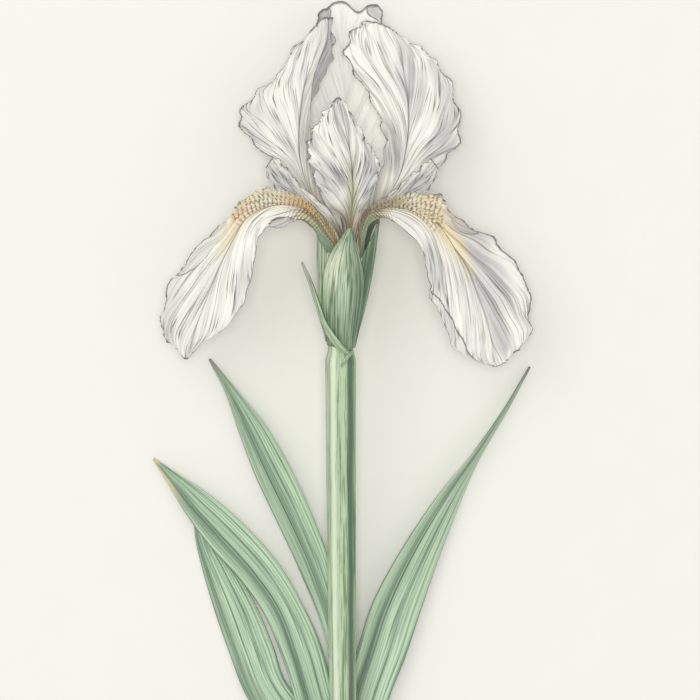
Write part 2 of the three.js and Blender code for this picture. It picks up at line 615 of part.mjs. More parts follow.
function hairGeometry(root, direction, length) {
  const tip = root.clone().addScaledVector(direction, length);
  const halfway = root.clone().lerp(tip, 0.5);
  const points = [root.toArray(), halfway.toArray(), tip.toArray()];
  return sweptBody(points, (u) => hairRadius * (1 - 0.75 * u), evenShares(1), 3);
}

function beardGeometry(sheet, { start, end, middle, halfWidth, side, seed }) {
  const surface = sheetSurface(sheet);
  const lift = petalThickness / 2 + beardClearance + beardCoreThickness / 2;
  const strip = (u, v) => {
    const along = THREE.MathUtils.lerp(start, end, u);
    const across = middle + v * halfWidth * Math.sqrt(Math.max(0.08, 1 - (2 * u - 1) ** 4));
    const point = surface(along, across);
    return point.addScaledVector(surfaceNormal(surface, along, across), side * lift);
  };
  let beard = solidFrom(closedSheet(strip, 10, 2, beardCoreThickness));
  const random = seededRandom(seed);
  for (let k = 0; k < hairsPerBeard; k += 1) {
    const u = (k + 0.5 + 0.5 * (random() - 0.5)) / hairsPerBeard;
    const v = 1.4 * (random() - 0.5);
    const root = strip(u, v);
    const along = THREE.MathUtils.lerp(start, end, u);
    const normal = surfaceNormal(surface, along, middle + v * halfWidth);
    const lean = strip(Math.min(1, u + 0.02), v).sub(root).normalize();
    const direction = normal.multiplyScalar(side).addScaledVector(lean, 0.35).normalize();
    const size = hairLength * (0.75 + 0.4 * random()) * (0.6 + 0.4 * Math.sin(Math.PI * u));
    beard = beard.add(solidFrom(hairGeometry(root, direction, size)));
  }
  return geometryFrom(beard);
}

// The whole flower
const flower = new THREE.Group();

function place(name, geometry, material) {
  const mesh = new THREE.Mesh(geometry, material);
  mesh.name = name;
  flower.add(mesh);
}

function placeSheet(name, sheet, { rows, columns, thickness, material }) {
  place(name, closedSheet(sheetSurface(sheet), rows, columns, thickness), material);
}

const petalMake = { rows: 30, columns: 8, thickness: petalThickness, material: petalWhite };
const styleMake = { rows: 12, columns: 4, thickness: styleThickness, material: petalWhite };
const leafMake = { rows: 20, columns: 4, thickness: leafThickness, material: leafGreen };
const bractMake = { rows: 14, columns: 4, thickness: bractThickness, material: bractGreen };

place('stem', stemGeometry(), stemGreen);
place('ovary_and_tube', ovaryGeometry(), bractGreen);
placeSheet('spathe_front', spatheFrontSheet, bractMake);
place('spathe_left', closedSheet(spatheLeftSurface, 12, 8, bractThickness), bractGreen);
place('spathe_right', closedSheet(spatheRightSurface, 12, 8, bractThickness), bractGreen);
placeSheet('spathe_outer', spatheOuterSheet, bractMake);
placeSheet('spathe_scale', spatheScaleSheet, { ...bractMake, rows: 8, columns: 2 });

placeSheet('fall_left', fallLeftSheet, petalMake);
placeSheet('fall_right', fallRightSheet, petalMake);
placeSheet('fall_back', fallBackSheet, petalMake);
placeSheet('standard_left', standardLeftSheet, petalMake);
placeSheet('standard_right', standardRightSheet, petalMake);
placeSheet('standard_front', standardFrontSheet, petalMake);
placeSheet('style_left', styleLeftSheet, styleMake);
placeSheet('style_right', styleRightSheet, styleMake);
placeSheet('style_back', styleBackSheet, styleMake);

const beardPlaces = {
  beard_left: [fallLeftSheet, {
    start: 0.24, end: 0.57, middle: -0.33, halfWidth: 0.36, side: -1, seed: 11,
  }],
  beard_right: [fallRightSheet, {
    start: 0.22, end: 0.54, middle: -0.33, halfWidth: 0.36, side: 1, seed: 23,
  }],
  beard_back: [fallBackSheet, {
    start: 0.36, end: 0.62, middle: 0, halfWidth: 0.2, side: 1, seed: 37,
  }],
};
for (const [name, [sheet, layout]] of Object.entries(beardPlaces)) {
  place(name, beardGeometry(sheet, layout), beardYellow);
}
for (const [name, points] of Object.entries(stamenPaths)) {
  place(name, stamenGeometry(points), stamenCream);
}

placeSheet('leaf_upper_left', leafUpperLeftSheet, leafMake);
placeSheet('leaf_right', leafRightSheet, leafMake);
placeSheet('leaf_lower_left', leafLowerLeftSheet, leafMake);
placeSheet('leaf_behind_left', leafBehindLeftSheet, leafMake);

// Stands the flower on the surface, with its outline centred on the origin.
const outline = new THREE.Box3().setFromObject(flower);
flower.position.set(restingPlace[0], restingPlace[1], -outline.min.z);

export default flower;
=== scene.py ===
import math
import bpy
import numpy as np
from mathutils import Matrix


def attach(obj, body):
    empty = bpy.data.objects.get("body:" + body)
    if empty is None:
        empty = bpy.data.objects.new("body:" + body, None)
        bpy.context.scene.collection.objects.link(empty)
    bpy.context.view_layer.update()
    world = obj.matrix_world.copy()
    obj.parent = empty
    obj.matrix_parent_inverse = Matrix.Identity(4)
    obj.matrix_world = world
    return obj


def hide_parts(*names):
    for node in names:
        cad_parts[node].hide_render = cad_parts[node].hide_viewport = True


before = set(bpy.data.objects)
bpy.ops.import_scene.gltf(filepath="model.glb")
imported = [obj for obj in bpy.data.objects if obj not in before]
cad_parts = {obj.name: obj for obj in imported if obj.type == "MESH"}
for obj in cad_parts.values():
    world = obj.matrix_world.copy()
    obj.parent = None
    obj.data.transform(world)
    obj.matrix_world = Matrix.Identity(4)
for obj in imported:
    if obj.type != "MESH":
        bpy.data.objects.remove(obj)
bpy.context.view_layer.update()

mm = 0.001
resting = np.array([2.418, 22.192, 0.0])  # how far the flower is moved to centre its outline


viewing = {
    "distance": 2.0,  # metres above the middle of the bloom
    "bloomHeight": 0.027,
    "width": 0.210,  # what the picture takes in
    "sensor": 36.0,
}


def makeCamera():
    data = bpy.data.cameras.new("camera")
    data.sensor_width = viewing["sensor"]
    data.lens = viewing["sensor"] * viewing["distance"] / viewing["width"]
    data.clip_end = 20
    camera = bpy.data.objects.new("camera", data)
    height = viewing["distance"] + viewing["bloomHeight"]
    camera.location = (resting[0] * mm, resting[1] * mm, height)
    bpy.context.collection.objects.link(camera)
    bpy.context.scene.camera = camera
    bpy.context.scene.view_settings.view_transform = "Standard"


lights = {
    "key": {"place": (-0.48, 0.42, 1.1), "size": 0.9, "power": 2.9, "warmth": (1.0, 0.985, 0.95)},
    "fill": {"place": (0.8, -0.3, 0.9), "size": 1.2, "power": 0.7, "warmth": (1.0, 0.99, 0.97)},
    "overhead": {"place": (0.0, 0.02, 2.4), "size": 0.5, "power": 19.0, "warmth": (1.0, 0.995, 0.98)},
}


studio = {"colour": (1.0, 0.995, 0.985), "strength": 0.57}


def makeLights():
    for name, look in lights.items():
        data = bpy.data.lights.new(name, "AREA")
        data.energy = look["power"]
        data.size = look["size"]
        data.color = look["warmth"]
        lamp = bpy.data.objects.new(name, data)
        lamp.location = look["place"]
        aim = -np.array(look["place"])
        tilt = math.atan2(math.hypot(aim[0], aim[1]), -aim[2])
        lamp.rotation_euler = (tilt, 0, math.atan2(aim[0], -aim[1]) + math.pi)
        bpy.context.collection.objects.link(lamp)
    world = bpy.data.worlds.new("studio")
    world.use_nodes = True
    background = world.node_tree.nodes["Background"]
    background.inputs["Color"].default_value = (*studio["colour"], 1)
    background.inputs["Strength"].default_value = studio["strength"]
    bpy.context.scene.world = world


def addNode(tree, kind, **settings):
    node = tree.nodes.new(kind)
    for key, value in settings.items():
        setattr(node, key, value)
    return node


def setInput(tree, node, key, value):
    if hasattr(value, "links"):
        tree.links.new(value, node.inputs[key])
    else:
        node.inputs[key].default_value = value


def maths(tree, operation, a, b=0.0, clamp=False):
    node = addNode(tree, "ShaderNodeMath", operation=operation, use_clamp=clamp)
    setInput(tree, node, 0, a)
    setInput(tree, node, 1, b)
    return node.outputs[0]


def times(tree, a, b):
    return maths(tree, "MULTIPLY", a, b)


def plus(tree, a, b):
    return maths(tree, "ADD", a, b)


def minus(tree, a, b):
    return maths(tree, "SUBTRACT", a, b)


def away(tree, a, b):  # how far apart two values are
    return maths(tree, "ABSOLUTE", minus(tree, a, b))


def ranged(tree, value, low, high, toLow=0.0, toHigh=1.0):
    node = addNode(tree, "ShaderNodeMapRange", interpolation_type="SMOOTHSTEP")
    for key, given in enumerate((value, low, high, toLow, toHigh)):
        setInput(tree, node, key, given)
    return node.outputs[0]


def mixed(tree, share, first, second):
    node = addNode(tree, "ShaderNodeMix", data_type="RGBA")
    setInput(tree, node, 0, share)
    for key, value in ((6, first), (7, second)):
        setInput(tree, node, key, value if hasattr(value, "links") else (*value, 1))
    return node.outputs[2]


def noise(tree, vector, scale, detail=2.0, roughness=0.5):
    node = addNode(tree, "ShaderNodeTexNoise")
    setInput(tree, node, "Vector", vector)
    setInput(tree, node, "Scale", scale)
    setInput(tree, node, "Detail", detail)
    setInput(tree, node, "Roughness", roughness)
    return node.outputs[0]


def combined(tree, x, y, z=0.0):
    node = addNode(tree, "ShaderNodeCombineXYZ")
    for key, value in enumerate((x, y, z)):
        setInput(tree, node, key, value)
    return node.outputs[0]


def separated(tree, vector):
    split = addNode(tree, "ShaderNodeSeparateXYZ")
    tree.links.new(vector, split.inputs[0])
    return split.outputs


def objectPlace(tree):
    return addNode(tree, "ShaderNodeTexCoord").outputs["Object"]


def attributeParts(tree, name):
    return separated(tree, addNode(tree, "ShaderNodeAttribute", attribute_name=name).outputs["Vector"])


def newMaterial(name):
    material = bpy.data.materials.new(name)
    material.use_nodes = True
    tree = material.node_tree
    return material, tree, tree.nodes["Principled BSDF"]


def addBump(tree, shader, height, strength, depth):
    bump = addNode(tree, "ShaderNodeBump")
    bump.inputs["Strength"].default_value = strength
    bump.inputs["Distance"].default_value = depth
    tree.links.new(height, bump.inputs["Height"])
    tree.links.new(bump.outputs[0], shader.inputs["Normal"])


# Broken lines and soft streaks that run where Lane stays the same, measured by Follow.
def makeVeinGroup():
    group = bpy.data.node_groups.new("veins", "ShaderNodeTree")
    face = group.interface
    for name, value in (("Lane", 0.0), ("Follow", 0.0), ("Count", 30.0), ("Length", 3.0), ("Width", 0.03),
                        ("Fineness", 1.0)):
        face.new_socket(name, in_out="INPUT", socket_type="NodeSocketFloat").default_value = value
    for name in ("Lines", "Streaks"):
        face.new_socket(name, in_out="OUTPUT", socket_type="NodeSocketFloat")
    start = addNode(group, "NodeGroupInput")
    end = addNode(group, "NodeGroupOutput")
    lane = times(group, start.outputs["Lane"], start.outputs["Count"])
    stretch = times(group, start.outputs["Follow"], start.outputs["Length"])
    wander = noise(group, combined(group, lane, stretch), 0.5, 3.0, 0.55)
    offCentre = away(group, wander, 0.5)
    line = ranged(group, offCentre, 0.0, start.outputs["Width"], 1.0, 0.0)
    slow = combined(group, times(group, lane, 0.35), times(group, stretch, 1.9))
    lines = times(group, line, ranged(group, noise(group, slow, 1.0, 2.0), 0.38, 0.6))
    broadLane = times(group, times(group, lane, 0.55), start.outputs["Fineness"])
    broad = combined(group, broadLane, times(group, stretch, 0.8), 4.0)
    streaks = noise(group, broad, 0.6, 3.0, 0.6)
    group.links.new(lines, end.inputs["Lines"])
    group.links.new(streaks, end.inputs["Streaks"])
    return group


veinGroup = makeVeinGroup()


# How far across (-1 to 1) and along (0 to 1) a blade a point lies, from its UV map.
def bladePlace(tree):
    uv = addNode(tree, "ShaderNodeUVMap", uv_map="UVMap")
    sideways, along, _ = separated(tree, uv.outputs[0])
    return minus(tree, times(tree, sideways, 2.0), 1.0), along


def addVeins(tree, lane, follow, count, length, width, fineness=1.0):
    veins = addNode(tree, "ShaderNodeGroup", node_tree=veinGroup)
    tree.links.new(lane, veins.inputs["Lane"])
    tree.links.new(follow, veins.inputs["Follow"])
    for key, value in (("Count", count), ("Length", length), ("Width", width), ("Fineness", fineness)):
        veins.inputs[key].default_value = value
    return veins.outputs["Lines"], veins.outputs["Streaks"]


# How much of a soft oval patch shows at a place on a blade.
def patchShare(tree, across, along, patch):
    offAcross = maths(tree, "DIVIDE", minus(tree, across, patch["across"]), patch["wide"])
    offAlong = maths(tree, "DIVIDE", minus(tree, along, patch["along"]), patch["long"])
    spread = plus(tree, times(tree, offAcross, offAcross), times(tree, offAlong, offAlong))
    return ranged(tree, spread, 0.1, 1.2, patch["share"], 0.0)


petalLook = {
    "ivory": (0.95, 0.935, 0.865),
    # a paler white that paints in light on a blade lying in shade
    "paintedLightIvory": (0.985, 0.975, 0.92),
    "shade": (0.41, 0.405, 0.415),
    # painted shade: a cool grey laid in patches where a blade lies in shade
    "shadeWash": (0.42, 0.415, 0.44),
    "vein": (0.085, 0.08, 0.085),
    "rim": (0.15, 0.145, 0.14),
    "haft": (0.60, 0.51, 0.27),
    "haftVein": (0.11, 0.07, 0.03),
    "crest": (0.91, 0.75, 0.47),
    "yellow": (0.90, 0.76, 0.42),
    # painted shadow for the dark of the throat
    "hollowShadow": (0.13, 0.16, 0.12),
    "throatGreen": (0.24, 0.37, 0.25),
    "claw": (0.42, 0.35, 0.24),
    # painted shade on the far face of a turned margin
    "flap": (0.46, 0.455, 0.475),
    "rib": (0.46, 0.50, 0.24),
    "roughness": 0.6,
    "feather": 0.5,  # how far up the blade a vein runs on its way to the margin
    "bend": 0.7,
}


# The far face of a margin that has turned over, painted in shade, with a thin dark line of painted shade
# along its step.
def addFlap(tree, colour, across, along, flap):
    length = flap["end"] - flap["start"]
    share = maths(tree, "DIVIDE", minus(tree, along, flap["start"]), length, True)
    swell = maths(tree, "SINE", times(tree, share, math.pi))
    depth = times(tree, maths(tree, "POWER", swell, 0.6), 1 - flap["at"])
    side = times(tree, across, flap["side"])
    inside = minus(tree, plus(tree, side, depth), 1.0)
    begun = ranged(tree, swell, 0.0, 0.1)
    flapShade = times(tree, ranged(tree, inside, 0.0, 0.04), begun)
    colour = mixed(tree, times(tree, flapShade, flap.get("shade", 0.6)), colour, petalLook["flap"])
    # A thin dark line of painted shade along the step.
    off = away(tree, inside, 0.02)
    hem = times(tree, ranged(tree, off, 0.006, 0.022, 0.85, 0.0), begun)
    return mixed(tree, hem, colour, petalLook["rim"])


# The yellow on a fall's upper half, and the broken brown bars over it and the root.
def addCrest(tree, colour, across, along, streaks, haftEnd, crestEnd):
    place = objectPlace(tree)
    upper = ranged(tree, across, -0.25, 0.45, 1.0, 0.0)
    begun = ranged(tree, along, haftEnd * 0.5, haftEnd)
    reach = times(tree, begun, ranged(tree, along, crestEnd - 0.2, crestEnd, 1.0, 0.0))
    patchy = ranged(tree, streaks, 0.3, 0.6, 0.95, 0.55)
    warm = times(tree, times(tree, upper, reach), patchy)
    colour = mixed(tree, warm, colour, petalLook["crest"])
    wander = times(tree, noise(tree, place, 300.0, 3.0, 0.6), 9.0)
    bars = plus(tree, times(tree, along, 400.0), wander)
    lean = times(tree, maths(tree, "ABSOLUTE", across), -11.0)
    bars = maths(tree, "SINE", plus(tree, bars, lean))
    broken = ranged(tree, noise(tree, place, 420.0, 2.0), 0.36, 0.6, 0.5, 1.0)
    barred = times(tree, ranged(tree, bars, 0.0, 0.7), broken)
    crestFade = times(tree, ranged(tree, along, crestEnd - 0.17, crestEnd - 0.11, 0.7, 0.0),
                      ranged(tree, across, -0.1, 0.05, 1.0, 0.0))
    rootFade = ranged(tree, along, haftEnd * 0.8, haftEnd * 1.2, 0.95, 0.0)
    fade = maths(tree, "MAXIMUM", rootFade, crestFade)
    return mixed(tree, times(tree, barred, fade), colour, petalLook["haftVein"])


# haftEnd: where the coloured root ends; crestEnd: how far the yellow of a fall's upper side
# goes; ribEnd: how far a green midrib goes; bow: how far the veins' middle line strays;
# tint: how much painted shade lies in the folds and streaks; patches: places of painted
# shade and of yellow; hollow: a painted shadow in the dark of the throat; flaps: margins
# that have turned over, painted in shade; ground: which white the blade has, the paler one
# painting light into a blade that lies in shade
def petalMaterial(name, haftEnd, crestEnd=0.0, ribEnd=0.0, veinCount=62.0, shadeTint=0.5, ink=1.0, bow=0.0,
                  patches=(), hollowShadow=None, flaps=(), ground="ivory"):
    look = petalLook
    material, tree, shader = newMaterial(name)
    across, along = bladePlace(tree)
    margin = maths(tree, "ABSOLUTE", across)
    strays = times(tree, ranged(tree, along, 0.3, 0.5, 0.0, bow), ranged(tree, along, 0.6, 1.0, 1.0, 0.0))
    aside = away(tree, across, strays)
    rise = times(tree, maths(tree, "POWER", aside, look["bend"]), look["feather"])
    lane = minus(tree, along, rise)
    lines, streaks = addVeins(tree, lane, across, veinCount, 1.8, 0.042)
    place = objectPlace(tree)
    cloud = noise(tree, place, 34.0, 2.0, 0.5)
    # Painted shade in the folds between pleats and in soft streaks along the veins; the tint sets how much.
    foldShade = noise(tree, combined(tree, times(tree, lane, 7.0), across, 2.0), 1.0, 1.0)
    colour = mixed(tree, ranged(tree, foldShade, 0.5, 0.66, 0.0, shadeTint), look[ground], look["shade"])
    grown = ranged(tree, cloud, 0.46, 0.6, 0.25, 1.0)
    streakShade = times(tree, ranged(tree, streaks, 0.5, 0.66, 0.0, shadeTint * 1.3), grown)
    colour = mixed(tree, streakShade, colour, look["shade"])
    grain = ranged(tree, streaks, 0.36, 0.6, 0.5, 1.0)
    # Patches of painted shade, and of yellow.
    for patch in patches:
        share = times(tree, patchShare(tree, across, along, patch), grain)
        colour = mixed(tree, share, colour, look[patch["tone"]])
    for flap in flaps:
        colour = addFlap(tree, colour, across, along, flap)
    rootShare = ranged(tree, along, haftEnd * (0.75 if crestEnd else 0.45), haftEnd * 1.1, 1.0, 0.0)
    colour = mixed(tree, times(tree, rootShare, 0.9), colour, look["haft" if crestEnd else "claw"])
    if crestEnd:
        colour = addCrest(tree, colour, across, along, streaks, haftEnd, crestEnd)
    if ribEnd:
        rib = ranged(tree, margin, 0.02, 0.3, 1.0, 0.0)
        fade = ranged(tree, along, 0.3, ribEnd, 0.9, 0.0)
        colour = mixed(tree, times(tree, rib, fade), colour, look["rib"])
    lineColour = mixed(tree, rootShare, look["vein"], look["haftVein"])
    rootStreaks = times(tree, ranged(tree, streaks, 0.46, 0.6, 0.0, 0.7), rootShare)
    colour = mixed(tree, rootStreaks, colour, look["haftVein"])
    if crestEnd:  # the green keel under a fall's root
        below = times(tree, ranged(tree, across, -0.05, 0.25), ranged(tree, along, 0.15, 0.3, 0.9, 0.0))
        colour = mixed(tree, below, colour, look["throatGreen"])
    # A patch of painted shadow in the dark of the throat.
    if hollowShadow:
        colour = mixed(tree, patchShare(tree, across, along, hollowShadow), colour, look["hollowShadow"])
    inked = times(tree, ranged(tree, cloud, 0.42, 0.58, ink * 0.6, ink), lines)
    colour = mixed(tree, inked, colour, lineColour)
    midrib = times(tree, ranged(tree, aside, 0.004, 0.03, ink * 0.75, 0.0),
                   ranged(tree, along, 0.5, 1.0, 1.0, 0.3))
    colour = mixed(tree, midrib, colour, look["vein"])
    rim = ranged(tree, margin, 0.968, 0.995, 0.0, 0.9)
    tip = ranged(tree, along, 0.986, 0.998, 0.0, 0.9)
    colour = mixed(tree, maths(tree, "MAXIMUM", rim, tip), colour, look["rim"])
    tree.links.new(colour, shader.inputs["Base Color"])
    shader.inputs["Roughness"].default_value = look["roughness"]
    shader.inputs["Sheen Weight"].default_value = 0.1
    relief = plus(tree, times(tree, lines, -1.0), streaks)
    addBump(tree, shader, relief, 0.5, 0.0003)
    return material


leafLook = {
    "green": (0.48, 0.66, 0.46),
    "dark": (0.06, 0.13, 0.08),
    "light": (0.63, 0.79, 0.56),
    "dry": (0.72, 0.60, 0.36),
    "brown": (0.34, 0.27, 0.26),
    "ink": 0.6,
    "roughness": 0.5,
}


# Parallel veins along a leaf or a bract, with a paler margin and an optional dry tip.
def leafMaterial(name, look, count=16.0, dryTip=0.0, keel=0.0, keelWidth=0.5, marks=None, brownTip=0.0):
    marks = marks or {}
    material, tree, shader = newMaterial(name)
    across, along = bladePlace(tree)
    lines, streaks = addVeins(tree, across, along, count, 2.4, 0.08, 2.8)
    place = objectPlace(tree)
    cloud = noise(tree, place, 30.0, 3.0, 0.5)
    colour = mixed(tree, ranged(tree, cloud, 0.35, 0.7, 0.0, 0.5), look["green"], look["light"])
    colour = mixed(tree, ranged(tree, streaks, 0.47, 0.64, 0.0, 0.7), colour, look["dark"])
    bright = noise(tree, combined(tree, times(tree, across, 5.0), times(tree, along, 1.2), 9.0), 1.0, 1.0)
    colour = mixed(tree, ranged(tree, bright, 0.54, 0.68, 0.0, 0.6), colour, look["light"])
    if keelWidth:  # the shaded side of the fold
        off = away(tree, across, keel)
        band = ranged(tree, off, 0.0, keelWidth, 0.68, 0.0)
        grain = ranged(tree, streaks, 0.3, 0.55, 0.55, 1.0)
        colour = mixed(tree, times(tree, band, grain), colour, look["dark"])
    # A pale patch of painted light on the lit side.
    if "patch" in marks:
        pale = times(tree, patchShare(tree, across, along, marks["patch"]),
                     ranged(tree, cloud, 0.4, 0.55, 0.6, 1.0))
        colour = mixed(tree, pale, colour, look["patch"])
    # A patch of painted shadow.
    if "deepShadow" in marks:
        colour = mixed(tree, patchShare(tree, across, along, marks["deepShadow"]), colour, look["dark"])
    if marks:  # a side and a foot in the shade
        grain = ranged(tree, streaks, 0.32, 0.58, 0.35, 1.0)
        side = ranged(tree, across, marks["shadeFrom"], marks["shadeFrom"] + 0.9, 0.0, marks["shade"])
        foot = ranged(tree, along, 0.0, 0.45, marks["foot"], 0.0)
        shaded = times(tree, maths(tree, "MAXIMUM", side, foot), grain)
        colour = mixed(tree, shaded, colour, look["dark"])
    colour = mixed(tree, times(tree, lines, look["ink"]), colour, look["dark"])
    margin = maths(tree, "ABSOLUTE", across)
    colour = mixed(tree, ranged(tree, margin, 0.96, 1.0, 0.0, 0.7), colour, look["dark"])
    if brownTip:
        tip = ranged(tree, along, 1 - brownTip, 1 - brownTip * 0.3, 0.0, 0.8)
        colour = mixed(tree, tip, colour, look["brown"])
    if "hem" in marks:  # a pale first margin
        hemAt = ranged(tree, across, marks["hem"] - 1.0, marks["hem"] - 0.92, 1.0, 0.0)
        colour = mixed(tree, times(tree, hemAt, ranged(tree, along, 0.25, 0.45, 0.0, 0.9)),
                       colour, look["patch"])
    if dryTip:
        tip = ranged(tree, along, 1 - dryTip * 0.5, 1 - dryTip * 0.15, 0.0, 0.9)
        side = times(tree, ranged(tree, along, 1 - dryTip * 2.4, 1 - dryTip, 0.0, 0.9),
                     ranged(tree, across, -0.8, -0.35, 1.0, 0.0))
        colour = mixed(tree, maths(tree, "MAXIMUM", tip, side), colour, look["dry"])
    tree.links.new(colour, shader.inputs["Base Color"])
    shader.inputs["Roughness"].default_value = look["roughness"]
    shader.inputs["Sheen Weight"].default_value = 0.08
    relief = plus(tree, times(tree, lines, -0.7), streaks)
    addBump(tree, shader, relief, 0.5, 0.0003)
    return material


# A smooth curve through points, at shares of its length counted in points.
def curveThrough(points, share):
    points = np.array(points, float)
    last = len(points) - 1
    before = 2 * points[0] - points[1]
    after = 2 * points[-1] - points[-2]
    padded = np.vstack([before, points, after])
    place = np.clip(share, 0, 1) * last
    index = np.minimum(place.astype(int), last - 1)
    t = (place - index)[..., None]
    p0, p1, p2, p3 = (padded[index + k] for k in range(4))
    m1, m2 = (p2 - p0) / 2, (p3 - p1) / 2
    return p1 + m1 * t + (3 * (p2 - p1) - 2 * m1 - m2) * t**2 + (2 * (p1 - p2) + m1 + m2) * t**3


def smooth(value, low, high):
    t = np.clip((value - low) / (high - low), 0, 1)
    return t * t * (3 - 2 * t)


def unit(vectors):
    return vectors / np.maximum(np.linalg.norm(vectors, axis=-1, keepdims=True), 1e-9)


# What the waved margins have where a petal doesn't say otherwise. Heights are in mm.
marginLook = {"lean": 0.16, "crinkle": 0.28, "nick": 0.3, "pleats": 8.0, "pleatDepth": 0.3}


# Broad waves, notches and fine crinkles, which grow towards the margins.
def addWaves(point, wave, u, v, along, normal, outward):
    strength = smooth(u, wave["start"], wave["start"] + 0.25)
    inward = 1 - np.abs(v)
    share = np.where(v > 0, wave.get("secondMargin", 1.0), 1.0)
    reach = share * np.abs(v) ** 2.5 * strength
    swept = u + marginLook["lean"] * inward  # pleats lean towards the tip
    turns = 2 * math.pi * (wave["count"] * swept + np.where(v < 0, wave["phase"], 0.0))
    ripple = np.sin(turns) + 0.4 * np.sin(2.3 * turns + 1)
    point = point + normal * (wave["height"] * reach * ripple)[..., None]
    point = point + outward * (wave["notch"] * reach * np.sin(1.7 * turns + 2))[..., None]
    for notch in wave.get("tipNotches", ()):
        depth = notch["depth"] * smooth(u, 0.85, 1) * np.exp(-(((v - notch["at"]) / notch["spread"]) ** 2))
        point = point - along * depth[..., None]
    fine = share * np.abs(v) ** 8 * strength
    crinkle = np.sin(5.3 * turns + 0.7) + 0.7 * np.sin(8.9 * turns + 2.1)
    point = point + normal * (wave.get("crinkle", marginLook["crinkle"]) * fine * crinkle)[..., None]
    nick = np.sin(6.7 * turns) * np.sin(3.1 * turns + 0.4)
    return point + outward * (wave.get("nick", marginLook["nick"]) * fine * nick)[..., None]


# A turned margin stands a step below the blade.
def turnMargins(point, wave, u, v, normal):
    for flap in wave.get("flaps", ()):
        swell = np.sin(math.pi * np.clip((u - flap["start"]) / (flap["end"] - flap["start"]), 0, 1))
        inside = v * flap["side"] + (1 - flap["at"]) * np.maximum(swell, 0) ** 0.6 - 1
        step = flap["depth"] * smooth(inside, 0, 0.04) * smooth(swell, 0, 0.1)
        below = np.where(normal[..., 2:] < 0, normal, -normal)
        point = point + below * step[..., None]
    return point


# Small teeth and a few lobes on the first margin, beside the beard.
def addFrill(point, frill, u, v, normal, outward):
    begun = smooth(u, frill["start"], frill["start"] + 0.06)
    place = begun * (1 - smooth(u, frill["end"] - 0.05, frill["end"]))
    place = place * np.where(v < 0, np.abs(v) ** 5, 0.0)
    teeth = np.sin(2 * math.pi * 38 * u) + 0.6 * np.sin(2 * math.pi * 61 * u + 1)
    point = point + outward * (frill["height"] * place * teeth)[..., None]
    point = point + normal * (frill["height"] * place * np.cos(2 * math.pi * 47 * u))[..., None]
    for lobe in frill["lobes"]:
        size = lobe["height"] * np.exp(-(((u - lobe["at"]) / lobe["spread"]) ** 2)) * place
        point = point + outward * size[..., None]
    return point


# Shallow pleats that follow the veins.
def addPleats(point, wave, u, v, normal):
    strays = wave.get("bow", 0.0) * smooth(u, 0.3, 0.5) * (1 - smooth(u, 0.6, 1))
    rise = petalLook["feather"] * np.abs(v - strays) ** petalLook["bend"]
    fold = 2 * math.pi * marginLook["pleats"] * (u - rise) + np.where(v < 0, 1.3, 0.0)
    pleat = np.sin(fold) + 0.35 * np.sin(2.6 * fold + 0.8)
    body = smooth(u, 0.08, 0.4) * smooth(np.abs(v), 0.02, 0.35) * (1 - 0.5 * np.abs(v) ** 6)
    return point + normal * (wave.get("pleatDepth", marginLook["pleatDepth"]) * pleat * body)[..., None]


# Where a sheet drawn by stations (margin, midrib, margin) lies at u along and v across.
def sheetPoints(piece, u, v):
    stations = np.array(piece["stations"], float)
    left, middle, right = (curveThrough(stations[:, side], u) for side in range(3))
    crease = piece.get("crease", 0.0)
    w = v[..., None]
    rounded = left * w * (w - 1) / 2 + middle * (1 - w * w) + right * w * (w + 1) / 2
    edge = np.where(w < 0, left, right)
    folded = middle + (edge - middle) * np.abs(w)
    point = rounded + (folded - rounded) * crease
    wave = piece.get("wave")
    if not wave:
        return point
    along = unit(curveThrough(stations[:, 1], u + 0.005) - curveThrough(stations[:, 1], u - 0.005))
    normal = unit(np.cross(unit(right - left), along))
    outward = unit(edge - middle)
    point = addWaves(point, wave, u, v, along, normal, outward)
    point = turnMargins(point, wave, u, v, normal)
    if "frill" in wave:
        point = addFrill(point, wave["frill"], u, v, normal, outward)
    return addPleats(point, wave, u, v, normal)


def deselectAll():
    if bpy.context.object and bpy.context.object.mode != "OBJECT":
        bpy.ops.object.mode_set(mode="OBJECT")
    bpy.ops.object.select_all(action="DESELECT")


def applyModifier(piece, kind, **settings):
    modifier = piece.modifiers.new(kind.lower(), kind)
    for key, value in settings.items():
        setattr(modifier, key, value)
    bpy.context.view_layer.objects.active = piece
    bpy.ops.object.modifier_apply(modifier=modifier.name)


def finishPiece(piece, name, node, material, smoothAngle=None):
    piece.name = name
    piece.data.name = name
    piece.data.materials.clear()
    piece.data.materials.append(material)
    deselectAll()
    piece.select_set(True)
    bpy.context.view_layer.objects.active = piece
    if smoothAngle:
        bpy.ops.object.shade_smooth_by_angle(angle=math.radians(smoothAngle))
    else:
        bpy.ops.object.shade_smooth()
    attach(piece, "root")
    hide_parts(node)


# A grid laid over a sheet and given its thickness. Its UV map crosses and follows the blade.
def makeSheet(name, node, slot, material, place, rows, columns, thickness):
    deselectAll()
    bpy.ops.mesh.primitive_grid_add(x_subdivisions=columns, y_subdivisions=rows, size=2, calc_uvs=True)
    piece = bpy.context.object
    mesh = piece.data
    flat = np.empty(len(mesh.vertices) * 3)
    mesh.vertices.foreach_get("co", flat)
    flat = flat.reshape(-1, 3)
    across = np.clip(flat[:, 0], -1, 1)
    along = np.clip((flat[:, 1] + 1) / 2, 0, 1)
    points = (place(along, across) + resting) * mm
    mesh.vertices.foreach_set("co", points.ravel())
    mesh.update()
    applyModifier(piece, "SOLIDIFY", thickness=thickness * mm, offset=0.0, use_even_offset=False)
    finishPiece(piece, name, node, material)


throat = (0.0, 26.0, 27.0)  # the middle of the ring that the petals grow from


